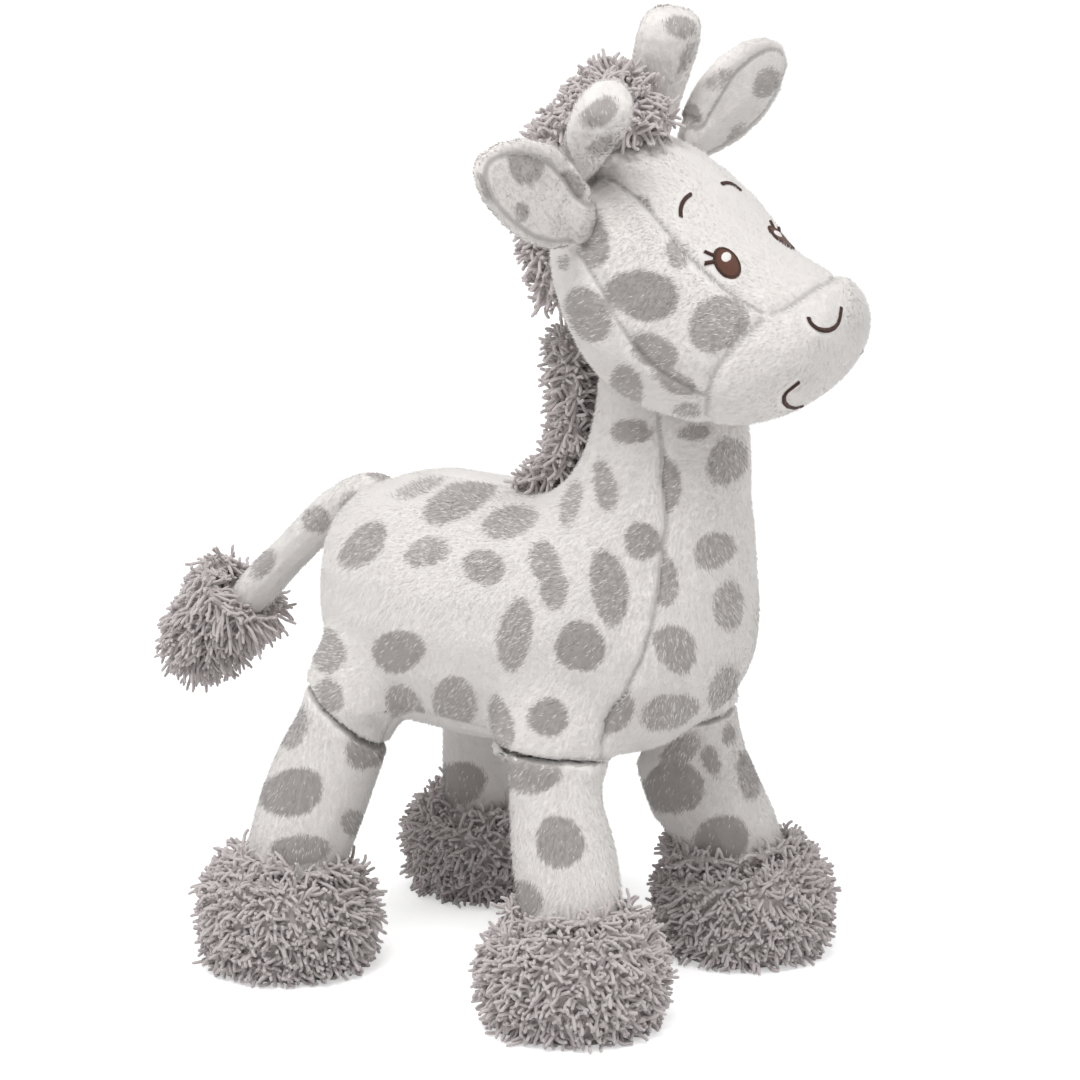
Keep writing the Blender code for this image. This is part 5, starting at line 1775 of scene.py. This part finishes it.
    def form(self) -> None:
        """Fuse each piece's stuffed form."""
        for side in Side:
            self.form_ear(side)
        for side in Side:
            label = f"{side.label}_horn"
            item = fuse(label, {f"{label}_cover": 0.0, f"{label}_stuffing": 2.4 * MM}, 0.7 * MM, 12, -0.5 * MM)
            if side is Side.RIGHT:
                narrow(item, joint_place(f"{label}_tilt"), 57, 0.76, 0.76)
            skin = Skin(item, nap=Vector((0, 0.1, 1)), seam_width=1.4 * MM, pucker=0.2 * MM, spot_scale=0.7)
            self.keep(label, skin, (f"{label}_cover", f"{label}_stuffing"))
        item = fuse("tail", {"tail_cover": 0.0}, 0.8 * MM, 12, -2.0 * MM)
        skin = Skin(item, nap=Vector((0, 0.6, -0.8)), seam_width=1.4 * MM, pucker=0.2 * MM, spot_scale=0.75)
        self.keep("tail", skin, ("tail_cover",))

    def keep(self, label: str, skin: Skin, nodes: tuple[str, ...]) -> None:
        """Keep a skin that rides on its own body."""
        self.skins[label] = skin
        self.motions[label] = Motion(label)
        self.nodes[label] = nodes

    def sew(self) -> None:
        """Sink the seams."""
        for skin in self.skins.values():
            skin.sew()
            skin.comb()


@dataclass(frozen=True)
class Tuft:
    """One chenille piece: how far its backing lies inside the CAD outline, and its yarns."""

    node: str
    motion: Motion
    inset: float = 4.7 * MM
    length: float = 4.8 * MM
    spacing: float = 1.08 * MM
    thickness: float = 0.56 * MM
    curl: float = 3.0 * MM
    droop: float = 1.0 * MM
    taper: float = 0.0
    lowest: float = -1.0
    voxel: float = 1.2 * MM
    bare_below: float = -2.0


NECK_MOTION = Motion("root", "neck", (0, -0.066, 0.160), (0, -0.071, 0.180))


@dataclass
class Chenille:
    """Boots, manes and tail tuft of chenille yarn, with the soles of the boots."""

    bench: Bench

    def tufts(self) -> list[Tuft]:
        """Every chenille piece."""
        found = [Tuft("neck_mane", NECK_MOTION, inset=3.2 * MM, length=5.0 * MM, droop=0.8 * MM, voxel=0.9 * MM),
                 Tuft("crown_mane", Motion("head"), inset=3.2 * MM, length=5.2 * MM, droop=0.8 * MM,
                      voxel=0.9 * MM),
                 Tuft("tail_tuft", Motion("tail"), inset=7.0 * MM, length=6.6 * MM, droop=3.2 * MM)]
        for side in Side:
            for end in ("front", "rear"):
                name = f"{end}_{side.label}"
                found.append(Tuft(f"{name}_boot", Motion(f"{name}_leg"), lowest=0.9 * MM, bare_below=-0.95,
                                  taper=0.16))
        return found

    def build(self) -> None:
        """Make the backings, the yarns and the soles."""
        for seed, tuft in enumerate(self.tufts()):
            self.add_tuft(tuft, seed)
        for side in Side:
            for end in ("front", "rear"):
                self.add_sole(f"{end}_{side.label}")

    def add_tuft(self, tuft: Tuft, seed: int) -> None:
        """Make one chenille piece."""
        core = self.core(tuft) if tuft.taper else None
        backing = fuse(f"{tuft.node}_backing", {tuft.node: -tuft.inset}, tuft.voxel, 8, 0.0, core)
        self.round_off(backing, tuft.taper)
        coat = (get_normals(backing)[:, 2] > tuft.bare_below).astype(float)
        store(backing, "coat", coat)
        values = {"Spacing": tuft.spacing, "Length": tuft.length, "Thickness": tuft.thickness,
                  "Curl": tuft.curl, "Droop": tuft.droop, "Lowest": tuft.lowest, "Seed": seed}
        item = self.bench.strands.run(backing, tuft.node + "_yarn", values, self.bench.shop.chenille)
        LOG.info("%s has %d faces", item.name, len(item.data.polygons))
        backing.data.materials.clear()
        # The backing's darker material is painted shade in the gaps between the yarns.
        backing.data.materials.append(self.bench.shop.backing)
        for piece in (item, backing):
            tuft.motion.give(piece)
        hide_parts(tuft.node)

    def core(self, tuft: Tuft) -> bpy.types.Mesh:
        """A ball that fills the middle of a boot, so that its yarns stand close to the leg too."""
        low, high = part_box(tuft.node)
        half = (high - low) / 2
        size = Matrix.Diagonal((half.x * 0.74, half.y * 0.74, half.z - tuft.inset * 0.8, 1))
        edit = bmesh.new()
        bmesh.ops.create_icosphere(edit, subdivisions=3, radius=1.0,
                                   matrix=Matrix.Translation((low + high) / 2) @ size)
        mesh = bpy.data.meshes.new("core")
        edit.to_mesh(mesh)
        edit.free()
        return mesh

    def round_off(self, backing: bpy.types.Object, taper: float) -> None:
        """Draw the top of a backing in."""
        places = get_points(backing)
        high = np.clip((places[:, 2] - 20 * MM) / (20 * MM), 0, 1)
        share = 1 - taper * high * high * (3 - 2 * high)
        middle = places[:, :2].mean(0)
        places[:, :2] = middle + (places[:, :2] - middle) * share[:, None]
        if taper:
            low = np.clip(1 - places[:, 2] / (20 * MM), 0, 1)
            places[:, :2] = middle + (places[:, :2] - middle) * (1 - 0.09 * low * low)[:, None]
            places[:, 2] -= 3.4 * MM * low
        set_points(backing, places)

    def add_sole(self, name: str) -> None:
        """Lay a cloth sole under a boot."""
        low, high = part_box(f"{name}_sole")
        middle = (low + high) / 2
        radius = (high.x - low.x) / 2
        edit = bmesh.new()
        rings = ((0.0, 0.0), (0.90, 0.0), (0.97, 0.25), (1.0, 0.8), (1.0, 1.6), (0.97, 1.9), (0.85, 2.0), (0.0, 2.0))
        count = 64
        loops = []
        for share, height in rings:
            spots = count if share else 1
            loops.append([edit.verts.new((middle.x + share * radius * math.cos(math.tau * turn / count),
                                          middle.y + share * radius * math.sin(math.tau * turn / count),
                                          height * MM)) for turn in range(spots)])
        for first, second in zip(loops, loops[1:]):
            for turn in range(count):
                after = (turn + 1) % count
                corners = [first[turn % len(first)], first[after % len(first)],
                           second[after % len(second)], second[turn % len(second)]]
                edit.faces.new(list(dict.fromkeys(corners)))
        bmesh.ops.recalc_face_normals(edit, faces=edit.faces)
        mesh = bpy.data.meshes.new(f"{name}_cloth_sole")
        edit.to_mesh(mesh)
        edit.free()
        item = new_object(mesh.name, mesh)
        item.data.shade_smooth()
        item.data.materials.append(self.bench.shop.sole)
        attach(item, f"{name}_leg")
        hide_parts(f"{name}_sole")


class Studio:
    """A white sweep, a large soft light from the camera's left and a dim fill."""

    def build(self) -> None:
        """Make the floor, the lights and the world."""
        floor_mesh = bpy.data.meshes.new("floor")
        reach = 60.0
        floor_mesh.from_pydata([(-reach, -reach, 0), (reach, -reach, 0), (reach, reach, 0), (-reach, reach, 0)],
                               [], [(0, 1, 2, 3)])
        floor = new_object("floor", floor_mesh)
        material, tree, shader = shader_tree("white_sweep")
        shader.inputs["Base Color"].default_value = (0.9, 0.9, 0.9, 1)
        shader.inputs["Roughness"].default_value = 1.0
        shader.inputs["Specular IOR Level"].default_value = 0.0
        seen = add_node(tree, "ShaderNodeLightPath").outputs["Is Camera Ray"]
        far = add_node(tree, "ShaderNodeVectorMath", operation="LENGTH")
        place = add_node(tree, "ShaderNodeTexCoord").outputs["Object"]
        tree.links.new(place, far.inputs[0])
        more = maths(tree, "MULTIPLY", far.outputs["Value"], 0.10)
        more = maths(tree, "MINIMUM", maths(tree, "ADD", more, 0.46), 0.66)
        glow = maths(tree, "MULTIPLY", seen, more)
        shader.inputs["Emission Color"].default_value = (1, 1, 1, 1)
        tree.links.new(glow, shader.inputs["Emission Strength"])
        floor.data.materials.append(material)
        middle = Vector((0, -0.02, 0.15))
        self.light("key", middle + Vector((-0.68, -0.30, 1.25)), middle, 0.8, 12.6)
        self.light("fill", middle + Vector((0.9, -0.9, 0.5)), middle, 1.2, 3.2)
        self.light("rim", middle + Vector((-0.4, 1.1, 0.9)), middle, 0.8, 4.5)
        self.world()

    def light(self, name: str, place: Vector, aim: Vector, size: float, power: float) -> None:
        """Add an area light."""
        lamp = bpy.data.lights.new(name, "AREA")
        lamp.shape = "DISK"
        lamp.size = size
        lamp.energy = power
        item = bpy.data.objects.new(name, lamp)
        item.location = place
        item.rotation_euler = (aim - place).to_track_quat("-Z", "Y").to_euler()
        bpy.context.scene.collection.objects.link(item)

    def world(self) -> None:
        """Make the world white for the camera and a soft fill for all else."""
        world = bpy.data.worlds.new("studio")
        bpy.context.scene.world = world
        world.use_nodes = True
        tree = world.node_tree
        back = tree.nodes["Background"]
        seen = add_node(tree, "ShaderNodeLightPath").outputs["Is Camera Ray"]
        strength = maths(tree, "MULTIPLY_ADD", seen, 0.49, 0.53)
        back.inputs["Color"].default_value = (1, 1, 1, 1)
        tree.links.new(strength, back.inputs["Strength"])


class PlushGiraffe:
    """The whole toy, in the order in which its pieces depend on one another."""

    def __init__(self) -> None:
        self.bench = Bench()
        self.body = Body(self.bench)
        self.head = Head(self.bench)
        self.fittings = Fittings(self.bench)

    def build(self) -> None:
        """Build all pieces."""
        groups = (self.body, self.head, self.fittings)
        for group in groups:
            group.form()
        skins = {name: skin for group in groups for name, skin in group.skins.items()}
        LOG.info("formed %s", {name: len(skin.item.data.vertices) for name, skin in skins.items()})
        for group in groups:
            group.sew()
        prints = SpotPrint()
        prints.lay(skins)
        for name, skin in skins.items():
            prints.press(name, skin)
            coat = np.ones(len(skin.item.data.vertices))
            coat[skin.furred:] = 0 if skin.furred else 1
            store(skin.item, "coat", coat)
        LOG.info("printed %s", {name: len(marks) for name, marks in prints.marks.items()})
        Embroidery(self.bench, self.head).stitch()
        for group in groups:
            for name, skin in group.skins.items():
                ear = name.endswith("ear")
                slot = Slot.LINING if ear else Slot.PLAIN if name == "head" else Slot.SPOTTED
                material = self.bench.shop.lining if ear else self.bench.shop.plush
                short = 1.4 * MM if group is self.fittings else 1.8 * MM
                self.bench.grow_pile(skin, group.motions[name], slot, length=short)
                self.bench.cover(skin, group.motions[name], material, slot, group.nodes[name])
        Chenille(self.bench).build()


def main() -> None:
    """Build the toy, its studio and its camera."""
    logging.basicConfig(level=logging.INFO, format="%(relativeCreated)d %(message)s")
    PlushGiraffe().build()
    Studio().build()
    VIEW.build()
    bpy.context.scene.view_settings.view_transform = "Standard"


if __name__ == "__main__":
    main()
